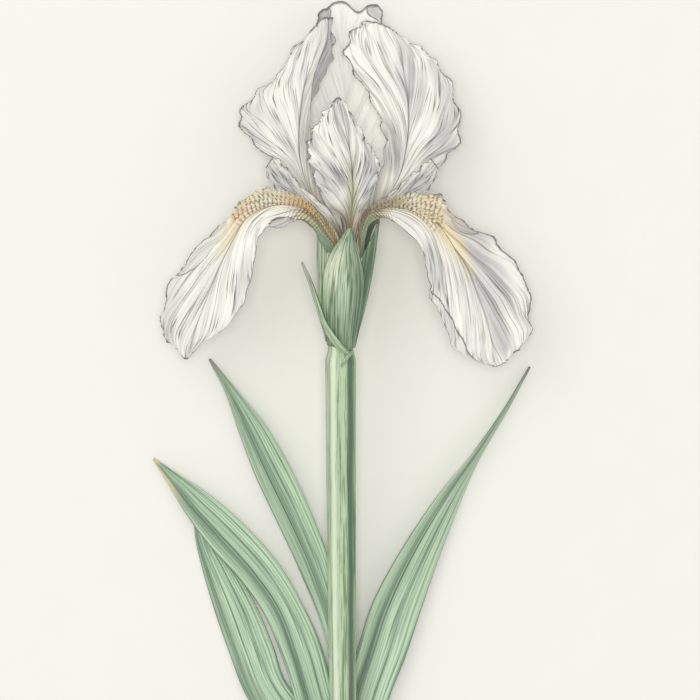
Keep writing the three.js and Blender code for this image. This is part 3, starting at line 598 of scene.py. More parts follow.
def ringStation(bearing, radius, halfWidth, turned=False):
    angle = math.radians(bearing)
    x = throat[0] + radius * math.cos(angle)
    z = throat[2] + radius * math.sin(angle)
    dx, dz = halfWidth * math.sin(angle), -halfWidth * math.cos(angle)
    station = [[x - dx, throat[1], z - dz], [x, throat[1], z], [x + dx, throat[1], z + dz]]
    return station[::-1] if turned else station


claw = {"radius": 3.7, "halfWidth": 1.55}
styleRoot = {"radius": 1.3, "halfWidth": 0.95}

fallLeft = {
    "stations": [
        ringStation(150, claw["radius"], claw["halfWidth"]),
        [[-3.3, 33.3, 31.2], [-4.5, 31.0, 30.5], [-5.7, 28.8, 29.6]],
        [[-6.3, 38.1, 31.6], [-7.5, 35.0, 32.4], [-8.7, 31.8, 31.6]],
        [[-9.6, 41.7, 31.6], [-10.5, 39.0, 33.8], [-11.1, 36.3, 33.6]],
        [[-14.1, 45.3, 31.2], [-14.7, 42.4, 35.0], [-15.3, 39.0, 35.6]],
        [[-20.4, 46.8, 30.2], [-20.4, 43.2, 36.2], [-20.6, 36.9, 36.4]],
        [[-26.4, 47.4, 29.6], [-26.2, 42.0, 37.0], [-24.3, 36.9, 38.2]],
        [[-33.0, 44.1, 28.6], [-31.5, 38.4, 36.4], [-27.3, 33.0, 38.2]],
        [[-38.6, 37.4, 26.4], [-35.7, 31.2, 34.8], [-28.8, 25.5, 36.8]],
        [[-46.0, 31.6, 23.8], [-39.6, 23.4, 32.4], [-30.0, 19.5, 34.8]],
        [[-52.2, 22.5, 21.4], [-43.2, 14.4, 30.0], [-32.7, 12.9, 32.4]],
        [[-56.7, 12.0, 19.4], [-46.5, 6.0, 27.0], [-37.5, 6.6, 29.4]],
        [[-55.5, 4.2, 19.6], [-48.3, 1.2, 24.0], [-44.1, 2.7, 25.6]],
        [[-50.2, -1.8, 21.4], [-49.2, -2.7, 21.8], [-48.2, -1.6, 22.4]],
    ],
    "wave": {"height": 0.9, "notch": 0.6, "count": 7, "start": 0.35, "phase": 0.3, "secondMargin": 0.3,
             "flaps": [{"side": 1.0, "at": 0.55, "start": 0.32, "end": 0.46, "depth": 0.7},
                       {"side": -1.0, "at": 0.52, "start": 0.56, "end": 0.77, "depth": 0.8, "shade": 0.2},
                       {"side": 1.0, "at": 0.6, "start": 0.92, "end": 1.03, "depth": 0.7}],
             "frill": {"start": 0.3, "end": 0.62, "height": 0.32,
                       "lobes": [{"at": 0.44, "height": 2.6, "spread": 0.012},
                                 {"at": 0.585, "height": 0.8, "spread": 0.015}]}},
}
fallRight = {
    "stations": [
        ringStation(30, claw["radius"], claw["halfWidth"], True),
        [[2.6, 34.0, 30.6], [3.1, 31.4, 30.2], [3.9, 28.4, 29.2]],
        [[3.6, 40.3, 31.4], [4.0, 37.0, 31.8], [4.6, 34.0, 30.6]],
        [[5.6, 42.6, 31.8], [6.0, 40.8, 33.2], [6.6, 38.6, 32.6]],
        [[10.0, 44.4, 31.6], [10.2, 42.2, 34.8], [10.6, 39.4, 35.0]],
        [[14.2, 45.6, 31.0], [14.6, 42.0, 36.2], [14.1, 37.8, 37.0]],
        [[19.5, 47.0, 30.4], [19.5, 40.2, 37.2], [18.3, 34.2, 38.2]],
        [[25.8, 45.6, 29.6], [24.0, 36.0, 37.4], [21.6, 30.0, 38.6]],
        [[31.8, 40.4, 28.2], [27.9, 30.0, 36.4], [23.1, 23.4, 37.6]],
        [[39.0, 35.6, 26.2], [31.5, 22.5, 34.6], [24.0, 17.4, 36.0]],
        [[46.0, 30.6, 24.2], [35.1, 14.4, 32.2], [26.7, 12.0, 34.6]],
        [[51.6, 23.0, 22.2], [38.7, 6.6, 29.8], [29.7, 5.1, 32.2]],
        [[54.2, 13.5, 20.8], [41.7, 0.6, 27.2], [32.1, 0.0, 29.6]],
        [[54.0, 5.0, 20.6], [43.8, -2.6, 25.2], [36.9, -2.7, 27.0]],
        [[48.8, -1.2, 22.4], [45.0, -4.6, 23.8], [41.6, -4.0, 25.0]],
    ],
    "wave": {"height": 0.9, "notch": 0.6, "count": 7, "start": 0.35, "phase": 0.55, "secondMargin": 0.5,
             "nick": 0.2, "bow": -0.35,
             "flaps": [{"side": -1.0, "at": 0.76, "start": 0.53, "end": 0.645, "depth": 0.7, "shade": 0.5},
                       {"side": 1.0, "at": 0.5, "start": 0.63, "end": 1.0, "depth": 0.8, "shade": 0.2}],
             "frill": {"start": 0.26, "end": 0.58, "height": 0.32,
                       "lobes": [{"at": 0.51, "height": 1.4, "spread": 0.02}]}},
}
fallBack = {
    "stations": [
        ringStation(-90, claw["radius"], claw["halfWidth"], True),
        [[-1.9, 34.0, 21.0], [0.0, 34.0, 20.2], [1.9, 34.0, 21.0]],
        [[-3.4, 42.0, 15.0], [0.0, 42.0, 14.0], [3.4, 42.0, 15.0]],
        [[-6.5, 49.0, 9.2], [-0.2, 49.0, 7.6], [6.0, 49.0, 9.2]],
        [[-13.0, 56.0, 6.4], [-0.5, 57.0, 3.4], [11.5, 56.0, 6.4]],
        [[-19.5, 64.0, 4.8], [-1.0, 66.0, 1.2], [17.5, 64.0, 4.8]],
        [[-21.5, 74.0, 4.2], [-1.5, 76.0, 0.4], [19.5, 75.0, 4.2]],
        [[-17.4, 85.6, 4.2], [-2.0, 86.0, 0.4], [16.6, 86.6, 4.2]],
        [[-12.2, 95.0, 4.8], [-2.6, 96.0, 1.2], [11.4, 95.6, 4.8]],
        [[-9.0, 102.2, 6.0], [-3.0, 106.0, 2.8], [8.6, 104.6, 6.0]],
    ],
    "wave": {"height": 0.8, "notch": 0.6, "count": 6, "start": 0.4, "phase": 0.4, "pleatDepth": 0.1,
             "flaps": [{"side": -1.0, "at": 0.3, "start": 0.9, "end": 1.03, "depth": 0.6},
                       {"side": 1.0, "at": 0.72, "start": 0.93, "end": 1.03, "depth": 0.5}],
             "tipNotches": [{"at": 0.5, "depth": 3.2, "spread": 0.24},
                            {"at": -0.55, "depth": 0.9, "spread": 0.2}]},
}

standardLeft = {
    "stations": [
        ringStation(210, claw["radius"], claw["halfWidth"]),
        [[-5.6, 32.0, 25.4], [-4.8, 32.0, 24.6], [-3.8, 32.4, 23.0]],
        [[-9.0, 38.6, 23.2], [-7.0, 38.4, 24.0], [-5.4, 39.2, 20.6]],
        [[-14.7, 46.6, 21.6], [-12.3, 47.6, 22.8], [-8.6, 47.0, 17.4]],
        [[-21.0, 55.4, 19.8], [-15.0, 57.0, 22.8], [-11.2, 56.0, 14.8]],
        [[-29.6, 63.0, 16.6], [-15.4, 65.0, 23.2], [-12.2, 65.5, 13.6]],
        [[-33.6, 70.6, 13.4], [-14.6, 74.0, 23.2], [-12.0, 74.0, 13.0]],
        [[-28.6, 77.0, 12.2], [-13.4, 80.5, 22.4], [-9.2, 80.5, 12.8]],
        [[-21.8, 83.0, 12.6], [-11.4, 86.0, 20.8], [-6.4, 86.5, 12.8]],
        [[-16.0, 92.0, 13.4], [-9.4, 92.6, 18.8], [-5.0, 92.5, 13.4]],
        [[-9.8, 97.2, 15.2], [-8.4, 100.0, 16.4], [-6.0, 100.4, 14.6]],
    ],
    "crease": 0.55,
    "wave": {"height": 0.9, "notch": 0.8, "count": 7, "start": 0.3, "phase": 0.2,
             "flaps": [{"side": 1.0, "at": 0.25, "start": 0.55, "end": 1.02, "depth": 0.6, "shade": 0.8}]},
}
standardRight = {
    "stations": [
        ringStation(-30, claw["radius"], claw["halfWidth"]),
        [[3.6, 32.2, 23.2], [4.6, 32.0, 24.4], [5.4, 31.8, 25.2]],
        [[4.6, 38.6, 22.0], [6.4, 38.4, 23.4], [8.0, 38.2, 22.8]],
        [[6.2, 46.0, 20.0], [11.2, 45.6, 23.6], [14.4, 45.8, 22.2]],
        [[9.0, 53.0, 18.2], [15.0, 52.6, 23.6], [21.4, 49.6, 20.8]],
        [[10.8, 61.4, 17.0], [16.8, 60.0, 23.2], [27.8, 56.6, 18.4]],
        [[9.0, 69.6, 16.0], [17.6, 67.6, 22.8], [33.0, 63.8, 16.4]],
        [[4.2, 79.6, 16.0], [17.4, 75.6, 21.8], [32.0, 75.0, 14.8]],
        [[-1.2, 88.4, 16.0], [16.2, 83.6, 20.4], [27.4, 85.2, 14.2]],
        [[0.6, 95.6, 16.0], [14.6, 90.6, 18.6], [21.4, 90.8, 14.2]],
        [[5.4, 99.6, 15.4], [11.6, 97.4, 16.4], [14.8, 94.2, 15.0]],
    ],
    "crease": 0.3,
    "wave": {"height": 0.9, "notch": 0.8, "count": 7, "start": 0.3, "phase": 0.7},
}
standardFront = {
    "stations": [
        ringStation(90, claw["radius"], claw["halfWidth"], True),
        [[-1.6, 33.0, 31.0], [0.2, 33.0, 31.1], [1.9, 33.0, 31.0]],
        [[-2.3, 39.4, 32.8], [0.3, 38.0, 33.2], [2.5, 38.0, 32.6]],
        [[-6.9, 43.0, 35.8], [0.6, 43.0, 37.0], [3.8, 43.0, 35.5]],
        [[-9.3, 48.0, 38.5], [0.9, 48.0, 41.5], [7.0, 48.0, 38.5]],
        [[-11.3, 54.0, 43.0], [0.6, 53.4, 46.0], [8.8, 54.0, 43.0]],
        [[-12.6, 59.4, 47.5], [0.0, 59.0, 50.0], [6.4, 59.5, 47.5]],
        [[-10.9, 65.2, 52.0], [-1.2, 65.0, 54.0], [3.0, 65.0, 52.0]],
        [[-7.6, 70.2, 55.5], [-2.4, 70.2, 57.0], [0.0, 70.2, 56.0]],
        [[-4.4, 73.8, 58.4], [-3.4, 74.6, 59.0], [-2.6, 73.8, 58.6]],
    ],
    "crease": 0.2,
    "wave": {"height": 0.7, "notch": 0.5, "count": 6, "start": 0.3, "phase": 0.5,
             "nick": 0.6, "crinkle": 0.12, "pleatDepth": 0.15},
}

styleLeft = {
    "stations": [
        ringStation(150, styleRoot["radius"], styleRoot["halfWidth"]),
        [[-2.0, 34.0, 28.2], [-2.8, 33.6, 27.6], [-3.4, 33.0, 26.8]],
        [[-5.6, 41.2, 28.4], [-6.6, 40.0, 28.0], [-7.4, 38.6, 27.2]],
        [[-10.4, 45.6, 27.6], [-11.4, 43.8, 27.6], [-12.4, 42.0, 27.0]],
        [[-15.2, 49.6, 26.0], [-16.5, 47.6, 26.6], [-17.8, 45.4, 25.4]],
        [[-18.8, 54.0, 24.8], [-20.5, 51.4, 25.6], [-22.6, 48.6, 24.2]],
        [[-22.8, 58.0, 24.0], [-24.0, 56.8, 24.4], [-25.4, 54.6, 23.6]],
    ],
    "wave": {"height": 0.5, "notch": 0.5, "count": 5, "start": 0.5, "phase": 0.5},
}
styleRight = {
    "stations": [
        ringStation(30, styleRoot["radius"], styleRoot["halfWidth"], True),
        [[1.6, 34.0, 27.4], [2.2, 33.6, 26.8], [2.8, 33.0, 26.2]],
        [[4.8, 41.0, 27.4], [5.8, 39.8, 27.0], [6.8, 38.4, 26.4]],
        [[10.2, 45.4, 27.6], [11.2, 43.6, 27.4], [12.2, 41.8, 26.8]],
        [[15.4, 49.6, 27.4], [17.0, 47.4, 27.6], [18.2, 45.0, 26.6]],
        [[20.0, 53.6, 26.6], [21.8, 51.2, 27.0], [23.6, 48.4, 25.8]],
        [[24.2, 57.4, 25.6], [25.4, 56.0, 25.8], [26.6, 54.2, 25.2]],
    ],
    "wave": {"height": 0.5, "notch": 0.5, "count": 5, "start": 0.5, "phase": 0.1},
}
styleBack = {
    "stations": [
        ringStation(-90, styleRoot["radius"], styleRoot["halfWidth"], True),
        [[-1.2, 34.0, 25.2], [0.0, 34.0, 25.4], [1.2, 34.0, 25.2]],
        [[-2.0, 42.0, 21.8], [0.0, 42.0, 22.2], [2.0, 42.0, 21.8]],
        [[-2.6, 50.0, 16.6], [0.0, 50.0, 17.2], [2.6, 50.0, 16.6]],
        [[-3.8, 57.0, 13.2], [0.0, 57.0, 14.0], [3.8, 57.0, 13.2]],
        [[-3.0, 63.6, 12.0], [0.0, 64.0, 12.4], [3.0, 63.6, 12.0]],
    ],
    "wave": {"height": 0.5, "notch": 0.4, "count": 4, "start": 0.5, "phase": 0.3},
}


# Patches of painted shade on each blade, and of yellow.
petalPatches = {  # across, along, how wide and long, tone, share
    "fallLeft": ((-0.85, 0.86, 0.3, 0.14, "shadeWash", 0.4), (0.8, 0.66, 0.25, 0.1, "shadeWash", 0.25),
                 (0.3, 0.94, 0.4, 0.05, "shadeWash", 0.4), (-0.25, 0.59, 0.42, 0.08, "yellow", 0.5)),
    "fallRight": ((-0.75, 0.62, 0.35, 0.09, "shadeWash", 0.75), (-0.55, 0.73, 0.35, 0.1, "shadeWash", 0.7),
                  (-0.3, 0.86, 0.2, 0.1, "shadeWash", 0.65), (0.6, 0.57, 0.5, 0.1, "shadeWash", 0.65),
                  (-0.4, 0.56, 0.28, 0.14, "yellow", 0.9)),
    "standardLeft": ((-0.85, 0.56, 0.25, 0.1, "shadeWash", 0.5), (-0.7, 0.36, 0.5, 0.08, "shadeWash", 0.55),
                     (0.75, 0.42, 0.4, 0.14, "shadeWash", 0.6)),
    "standardRight": ((0.12, 0.78, 0.3, 0.16, "shadeWash", 0.6), (-0.5, 0.5, 0.5, 0.12, "shadeWash", 0.6),
                      (0.75, 0.54, 0.3, 0.12, "shadeWash", 0.55), (0.8, 0.78, 0.25, 0.08, "shadeWash", 0.35)),
    "standardFront": ((-0.65, 0.5, 0.4, 0.14, "shadeWash", 0.6), (0.65, 0.5, 0.4, 0.14, "shadeWash", 0.6),
                      (0.0, 0.88, 0.6, 0.09, "shadeWash", 0.45)),
    "style": ((0.0, 0.75, 1.2, 0.22, "shadeWash", 0.55),),
}


petalFinishes = {
    "fallLeft": {"name": "fallPetalLeft", "haftEnd": 0.34, "crestEnd": 0.7, "shadeTint": 0.22},
    "fallRight": {"name": "fallPetalRight", "haftEnd": 0.31, "crestEnd": 0.66, "shadeTint": 0.35},
    # the back fall gets the paler white, painted light for the shade it lies in
    "fallBack": {"name": "backPetal", "haftEnd": 0.3, "veinCount": 40.0, "shadeTint": 0.0, "ink": 0.1,
                 "ground": "paintedLightIvory"},
    "standardLeft": {"name": "standardPetalLeft", "haftEnd": 0.36, "shadeTint": 0.3},
    # the right standard gets a painted shadow in the dark of its throat
    "standardRight": {"name": "standardPetalRight", "haftEnd": 0.36, "shadeTint": 0.4,
                      "hollowShadow": {"across": 0.6, "along": 0.13, "wide": 1.3, "long": 0.1, "share": 0.95}},
    "standardFront": {"name": "frontPetal", "haftEnd": 0.38, "ribEnd": 0.75, "veinCount": 48.0, "shadeTint": 0.6},
    "style": {"name": "stylePetal", "haftEnd": 0.35, "veinCount": 26.0},
}
petalSize = {"rows": 150, "columns": 72, "thickness": 0.42}
styleSize = {"rows": 60, "columns": 28, "thickness": 0.4}
petals = (  # name, node, shape, finish, size
    ("fallLeft", "fall_left", fallLeft, "fallLeft", petalSize),
    ("fallRight", "fall_right", fallRight, "fallRight", petalSize),
    ("fallBack", "fall_back", fallBack, "fallBack", petalSize),
    ("standardLeft", "standard_left", standardLeft, "standardLeft", petalSize),
    ("standardRight", "standard_right", standardRight, "standardRight", petalSize),
    ("standardFront", "standard_front", standardFront, "standardFront", petalSize),
    ("styleLeft", "style_left", styleLeft, "style", styleSize),
    ("styleRight", "style_right", styleRight, "style", styleSize),
    ("styleBack", "style_back", styleBack, "style", styleSize),
)


def patchesOf(finish):
    keys = ("across", "along", "wide", "long", "tone", "share")
    return [dict(zip(keys, patch)) for patch in petalPatches.get(finish, ())]


def makePetals():
    whites = {}
    for name, node, shape, finish, size in petals:
        wave = shape["wave"]
        if finish not in whites:
            whites[finish] = petalMaterial(patches=patchesOf(finish), flaps=wave.get("flaps", ()),
                                           bow=wave.get("bow", 0.0), **petalFinishes[finish])
        makeSheet(name, node, "petal", whites[finish], lambda u, v, s=shape: sheetPoints(s, u, v), **size)
    print("petals and style arms made")


leaves = {
    "leafUpperLeft": {
        "node": "leaf_upper_left",
        "brownTip": 0.05,
        "keel": (-0.15, 0.42),
        "crease": 0.5,
        "stations": [
            [[-7.4, -128, 9.2], [-1.5, -128, 5.4], [4.4, -128, 9.2]],
            [[-7.0, -113, 9.8], [-1.7, -113, 6.8], [3.6, -113, 9.8]],
            [[-6.0, -100, 9.4], [-2.6, -99, 8.0], [1.2, -98, 9.2]],
            [[-8.0, -85, 7.6], [-4.9, -83.5, 8.8], [-1.6, -82, 9.2]],
            [[-15.3, -66.5, 5.6], [-10.8, -65, 9.4], [-6.4, -63.5, 8.6]],
            [[-22.3, -51.5, 4.6], [-17.4, -50, 9.6], [-12.4, -48, 8.2]],
            [[-28.4, -38.6, 3.8], [-23.8, -37, 9.0], [-18.2, -35.6, 7.4]],
            [[-33.4, -25.6, 3.0], [-29.8, -24.4, 7.6], [-25.6, -23.0, 6.2]],
            [[-37.6, -13.4, 2.4], [-36.2, -12.8, 5.0], [-34.2, -12.4, 4.2]],
            [[-42.9, -2.8, 2.0], [-42.6, -2.7, 2.2], [-42.2, -2.8, 2.2]],
        ],
    },
    "leafRight": {
        "node": "leaf_right",
        "brownTip": 0.05,
        "keel": (-0.38, 0.42),
        "crease": 0.3,
        "stations": [
            [[-8.2, -150, 7.0], [-1.5, -150, 2.8], [5.2, -150, 7.0]],
            [[-7.6, -134, 7.4], [-1.0, -134, 3.6], [6.0, -134, 7.4]],
            [[-6.0, -120, 5.4], [0.8, -120, 4.6], [8.2, -120, 7.0]],
            [[-2.5, -106, 5.6], [4.5, -106, 5.4], [11.8, -106, 6.0]],
            [[2.2, -91, 5.6], [9.0, -92, 6.6], [16.8, -93, 5.0]],
            [[7.0, -76.5, 5.8], [13.6, -78, 7.8], [21.2, -79.5, 4.4]],
            [[15.6, -60.6, 6.2], [20.8, -62, 8.6], [26.6, -63.8, 3.6]],
            [[26.2, -44.8, 7.2], [29.6, -46, 8.4], [33.0, -47.2, 2.4]],
            [[37.0, -31.4, 7.8], [38.4, -32, 6.2], [39.6, -32.6, 0.6]],
            [[46.6, -18.0, 5.4], [47.2, -18, 3.8], [47.9, -18.2, 0.5]],
            [[54.4, -5.0, 1.8], [54.6, -5.1, 1.4], [54.8, -5.2, 1.0]],
        ],
    },
    "leafLowerLeft": {
        "node": "leaf_lower_left",
        "dryTip": 0.08,
        "keel": (-0.4, 0.4),
        "crease": 0.4,
        "stations": [
            [[-9.9, -150, 7.0], [-1.5, -150, 1.6], [6.9, -150, 7.0]],
            [[-11.0, -134, 6.5], [-3.5, -134, 2.0], [4.3, -134, 3.4]],
            [[-14.0, -118, 6.0], [-7.5, -118, 3.4], [-0.6, -118, 3.0]],
            [[-17.2, -104, 5.6], [-11.0, -104, 5.2], [-4.9, -104, 5.0]],
            [[-21.0, -92, 5.2], [-14.8, -91, 6.8], [-8.6, -90, 6.0]],
            [[-26.0, -80, 4.8], [-19.8, -78, 8.0], [-14.0, -78, 7.0]],
            [[-33.0, -70, 4.4], [-28.0, -66, 8.2], [-21.8, -64.6, 7.5]],
            [[-42.0, -60, 3.6], [-38.0, -55, 7.0], [-33.0, -52.2, 6.5]],
            [[-49.5, -50, 2.8], [-46.5, -46.5, 5.0], [-43.4, -43.4, 4.5]],
            [[-55.0, -41, 1.9], [-53.8, -38.8, 3.0], [-52.6, -37.4, 3.0]],
            [[-59.8, -33.3, 1.5], [-59.6, -33.0, 1.6], [-59.3, -32.8, 1.6]],
        ],
    },
    "leafBehindLeft": {
        "node": "leaf_behind_left",
        "keel": (-0.75, 0.3),
        "crease": 0.4,
        "stations": [
            [[-11.8, -150, 6.8], [-1.5, -150, 0.4], [8.8, -150, 6.8]],
            [[-16.0, -134, 4.6], [-6.0, -134, 0.5], [3.0, -134, 1.2]],
            [[-24.0, -118, 2.4], [-14.5, -118, 1.1], [-5.0, -118, 0.8]],
            [[-32.0, -104, 1.2], [-25.0, -103, 2.6], [-18.7, -102, 2.0]],
            [[-36.6, -92, 0.6], [-29.8, -91, 3.6], [-23.4, -90, 2.2]],
            [[-40.8, -80, 0.4], [-34.2, -79, 4.0], [-28.5, -78, 2.2]],
            [[-44.4, -68, 0.4], [-39.6, -67, 3.2], [-34.8, -67, 1.6]],
            [[-46.8, -58, 0.4], [-44.2, -57.4, 1.6], [-41.6, -58, 0.9]],
            [[-47.6, -50, 0.6], [-47.3, -49.6, 0.7], [-47.0, -49.4, 0.6]],
        ],
    },
}
leafRelief = {"ribs": 11, "height": 0.05, "thickness": 0.36, "foot": -149.98}


def leafPoints(shape, u, v):
    point = sheetPoints(shape, u, v)
    ribbing = np.cos(leafRelief["ribs"] * math.pi * v) * (1 - v * v)
    point[..., 2] += leafRelief["height"] * ribbing
    point[..., 1] = np.maximum(point[..., 1], leafRelief["foot"])
    return point


def makeLeaves():
    for name, leaf in leaves.items():
        keel, keelWidth = leaf["keel"]
        material = leafMaterial(name, leafLook, 16.0, leaf.get("dryTip", 0.0), keel, keelWidth,
                                brownTip=leaf.get("brownTip", 0.0))
        makeSheet(name, leaf["node"], "leaf", material, lambda u, v, s=leaf: leafPoints(s, u, v),
                  rows=140, columns=44, thickness=leafRelief["thickness"])
    print("leaves made")


bractLook = {
    "green": (0.36, 0.50, 0.32),
    "dark": (0.06, 0.125, 0.065),
    "light": (0.66, 0.76, 0.54),
    # paler green: painted light in the pale patch, and the real pale first margin
    "patch": (0.78, 0.83, 0.62),
    "dry": (0.42, 0.38, 0.36),
    "ink": 0.9,
    "roughness": 0.5,
}
# Painted light and shade on each bract: a pale lit patch, a deep painted shadow, and a shaded side and foot.
bractMarks = {
    "front": {"patch": {"across": -0.55, "along": 0.6, "wide": 0.42, "long": 0.26, "share": 0.75},
              "deepShadow": {"across": 0.75, "along": 0.32, "wide": 0.3, "long": 0.34, "share": 0.5},
              "shadeFrom": -0.1, "shade": 0.62, "foot": 0.6},
    "left": {"patch": {"across": 0.1, "along": 0.75, "wide": 0.42, "long": 0.26, "share": 0.75},
             "shadeFrom": 0.3, "shade": 0.3, "foot": 0.5},
    "right": {"deepShadow": {"across": -0.75, "along": 0.6, "wide": 0.42, "long": 0.5, "share": 0.8},
              "shadeFrom": -1.5, "shade": 0.6, "foot": 0.75, "hem": 0.13},
}
spatheFront = {
    "stations": [
        [[-7.3, 2.8, 28.3], [-2.3, 0.1, 31.0], [1.4, 0.9, 28.4]],
        [[-7.7, 6.0, 28.4], [-2.4, 6.0, 32.2], [2.6, 6.0, 28.8]],
        [[-8.3, 13.0, 29.0], [-2.1, 13.0, 33.6], [3.7, 13.0, 30.2]],
        [[-8.3, 19.4, 29.6], [-1.8, 19.4, 34.4], [4.2, 19.4, 31.2]],
        [[-7.4, 24.8, 30.6], [-1.5, 25.0, 34.8], [3.6, 24.8, 32.2]],
        [[-5.4, 29.4, 32.0], [-1.2, 29.4, 35.0], [2.4, 29.2, 33.2]],
        [[-2.8, 33.2, 33.6], [-0.6, 33.4, 35.2], [1.3, 33.4, 34.2]],
        [[-0.5, 36.2, 34.9], [0.0, 36.4, 35.1], [0.5, 36.2, 34.9]],
    ],
}
spatheOuter = {
    "stations": [
        [[0.3, -0.7, 31.3], [-0.2, -1.0, 31.4], [-0.8, -1.3, 31.4]],
        [[-1.8, 1.3, 32.3], [-2.5, 0.6, 32.4], [-3.3, 0.1, 32.1]],
        [[-4.5, 4.4, 33.1], [-5.2, 3.8, 32.9], [-5.9, 3.1, 32.3]],
        [[-7.2, 9.0, 32.1], [-7.8, 8.2, 31.6], [-8.4, 7.5, 30.9]],
        [[-9.2, 14.6, 30.4], [-9.7, 14.0, 30.0], [-10.2, 13.4, 29.4]],
        [[-11.5, 20.9, 29.1], [-11.9, 20.4, 28.8], [-12.3, 19.9, 28.3]],
        [[-14.2, 26.4, 28.9], [-14.4, 26.3, 28.8], [-14.6, 26.2, 28.7]],
    ],
}
spatheScale = {
    "stations": [
        [[0.3, 0.0, 29.7], [0.75, -0.35, 29.3], [1.2, -0.7, 28.8]],
        [[-0.7, -0.9, 30.4], [-0.2, -1.2, 30.2], [0.3, -1.5, 29.9]],
        [[-2.0, -3.1, 30.7], [-1.6, -3.4, 30.7], [-1.2, -3.7, 30.5]],
        [[-2.9, -5.0, 30.5], [-2.7, -5.1, 30.5], [-2.5, -5.2, 30.5]],
    ],
}
# shoulder: share of the full height that the low sides reach; flattening: depth over width
sideBracts = {
    "shoulder": 0.74, "flattening": 0.92, "tuckSpread": 26,
    "centres": [[-2.7, 1.4, 25.7], [-2.3, 9, 26.1], [-1.6, 18, 26.6], [-0.8, 28, 27]],
    "spatheLeft": {
        "node": "spathe_left", "radii": [3.9, 6.6, 8.3, 9.2],
        "from": -52, "to": -188, "tipHeight": 8, "tipBearing": -95, "tipSpread": 48, "tuck": 0.3,
    },
    "spatheRight": {
        "node": "spathe_right", "radii": [3.8, 5.9, 7.9, 9.6],
        "from": 34, "to": 158, "tipHeight": 11, "tipBearing": 88, "tipSpread": 46, "tuck": 0.36,
    },
}


# A bract that wraps the tube at its side, between two bearings taken from the front.
def sideBractPoints(bract, u, v):
    share = (v + 1) / 2
    span = bract["to"] - bract["from"]
    bearing = bract["from"] + span * share
    peak = np.exp(-(((bearing - bract["tipBearing"]) / bract["tipSpread"]) ** 2))
    rise = bract["tipHeight"] * peak
    shoulder = sideBracts["shoulder"] + (1 - sideBracts["shoulder"]) * peak
    centre = curveThrough(sideBracts["centres"], np.minimum(1, u * shoulder))
    radii = np.array(bract["radii"], float)[:, None]
    tucked = 1 - bract["tuck"] * np.exp(-((span * share / sideBracts["tuckSpread"]) ** 2))
    radius = curveThrough(radii, u)[..., 0] * tucked
    angle = np.radians(bearing)
    return np.stack([
        centre[..., 0] + radius * np.sin(angle),
        centre[..., 1] + u**3 * rise,
        centre[..., 2] + sideBracts["flattening"] * radius * np.cos(angle),
    ], axis=-1)


def makeSpathe():
    green = {side: leafMaterial("bractGreen" + side.capitalize(), bractLook, 15.0, keelWidth=0.0, marks=marks)
             for side, marks in bractMarks.items()}
    plain = leafMaterial("bractGreen", bractLook, 4.0, dryTip=0.12, keelWidth=0.0)
    makeSheet("spatheFront", "spathe_front", "bract", green["front"],
              lambda u, v: leafPoints(spatheFront, u, v), rows=90, columns=40, thickness=0.5)
    makeSheet("spatheOuter", "spathe_outer", "bract", plain,
              lambda u, v: sheetPoints(spatheOuter, u, v), rows=90, columns=16, thickness=0.5)
    makeSheet("spatheScale", "spathe_scale", "bract", plain,
              lambda u, v: sheetPoints(spatheScale, u, v), rows=40, columns=10, thickness=0.5)
    for name, side in (("spatheLeft", "left"), ("spatheRight", "right")):
        bract = sideBracts[name]
        makeSheet(name, bract["node"], "bract", green[side],
                  lambda u, v, b=bract: sideBractPoints(b, u, v), rows=80, columns=60, thickness=0.5)
    print("spathe made")


stem = {"foot": (-1.5, -150, 8.0), "top": (-2.7, 1.4, 25.78), "footRadius": 3.7, "topRadius": 4.65,
        "bow": -0.2, "ribs": 7, "ribHeight": 0.2, "shoulder": 0.95, "sides": 112, "steps": 160}


# A circle drawn at the start of a route and extruded along it, step by step.
def sweepPiece(route, radiusAt, sides, steps):
    shares = np.linspace(0, 1, steps + 1)
    centres = (curveThrough(route, shares) + resting) * mm
    deselectAll()
    bpy.ops.mesh.primitive_circle_add(vertices=sides, radius=mm, fill_type="NGON")
    piece = bpy.context.object
    bpy.ops.object.mode_set(mode="EDIT")
    bpy.ops.mesh.select_all(action="SELECT")
    for _ in range(steps):
        bpy.ops.mesh.extrude_region_move(TRANSFORM_OT_translate={"value": (0, 0, mm)})
    bpy.ops.object.mode_set(mode="OBJECT")
    mesh = piece.data
    flat = np.empty(len(mesh.vertices) * 3)
    mesh.vertices.foreach_get("co", flat)
    flat = flat.reshape(-1, 3)
    ring = np.clip(np.rint(flat[:, 2] / mm).astype(int), 0, steps)
    angle = np.arctan2(flat[:, 1], flat[:, 0])
    tangent = unit(np.gradient(centres, axis=0))
    across = unit(np.cross(np.array([0.0, 0.0, 1.0]), tangent))
    up = np.cross(tangent, across)
    radius = radiusAt(shares[ring], angle) * mm
    points = centres[ring] + across[ring] * (radius * np.cos(angle))[:, None]
    points = points + up[ring] * (radius * np.sin(angle))[:, None]
    mesh.vertices.foreach_set("co", points.ravel())
    around = mesh.attributes.new("around", "FLOAT_VECTOR", "POINT")  # left, up and along
    place = np.stack([np.cos(angle), np.sin(angle), shares[ring]], axis=-1)
    around.data.foreach_set("vector", place.ravel())
    mesh.update()
    bpy.ops.object.mode_set(mode="EDIT")
    bpy.ops.mesh.select_all(action="SELECT")
    bpy.ops.mesh.normals_make_consistent(inside=False)
    bpy.ops.object.mode_set(mode="OBJECT")
    return piece


stemLook = {
    "green": (0.42, 0.57, 0.36),
    "light": (0.56, 0.69, 0.45),
    "dark": (0.05, 0.11, 0.06),
    # painted highlight down the left side
    "highlightStreak": (0.78, 0.86, 0.66),
    "roughness": 0.45,
}


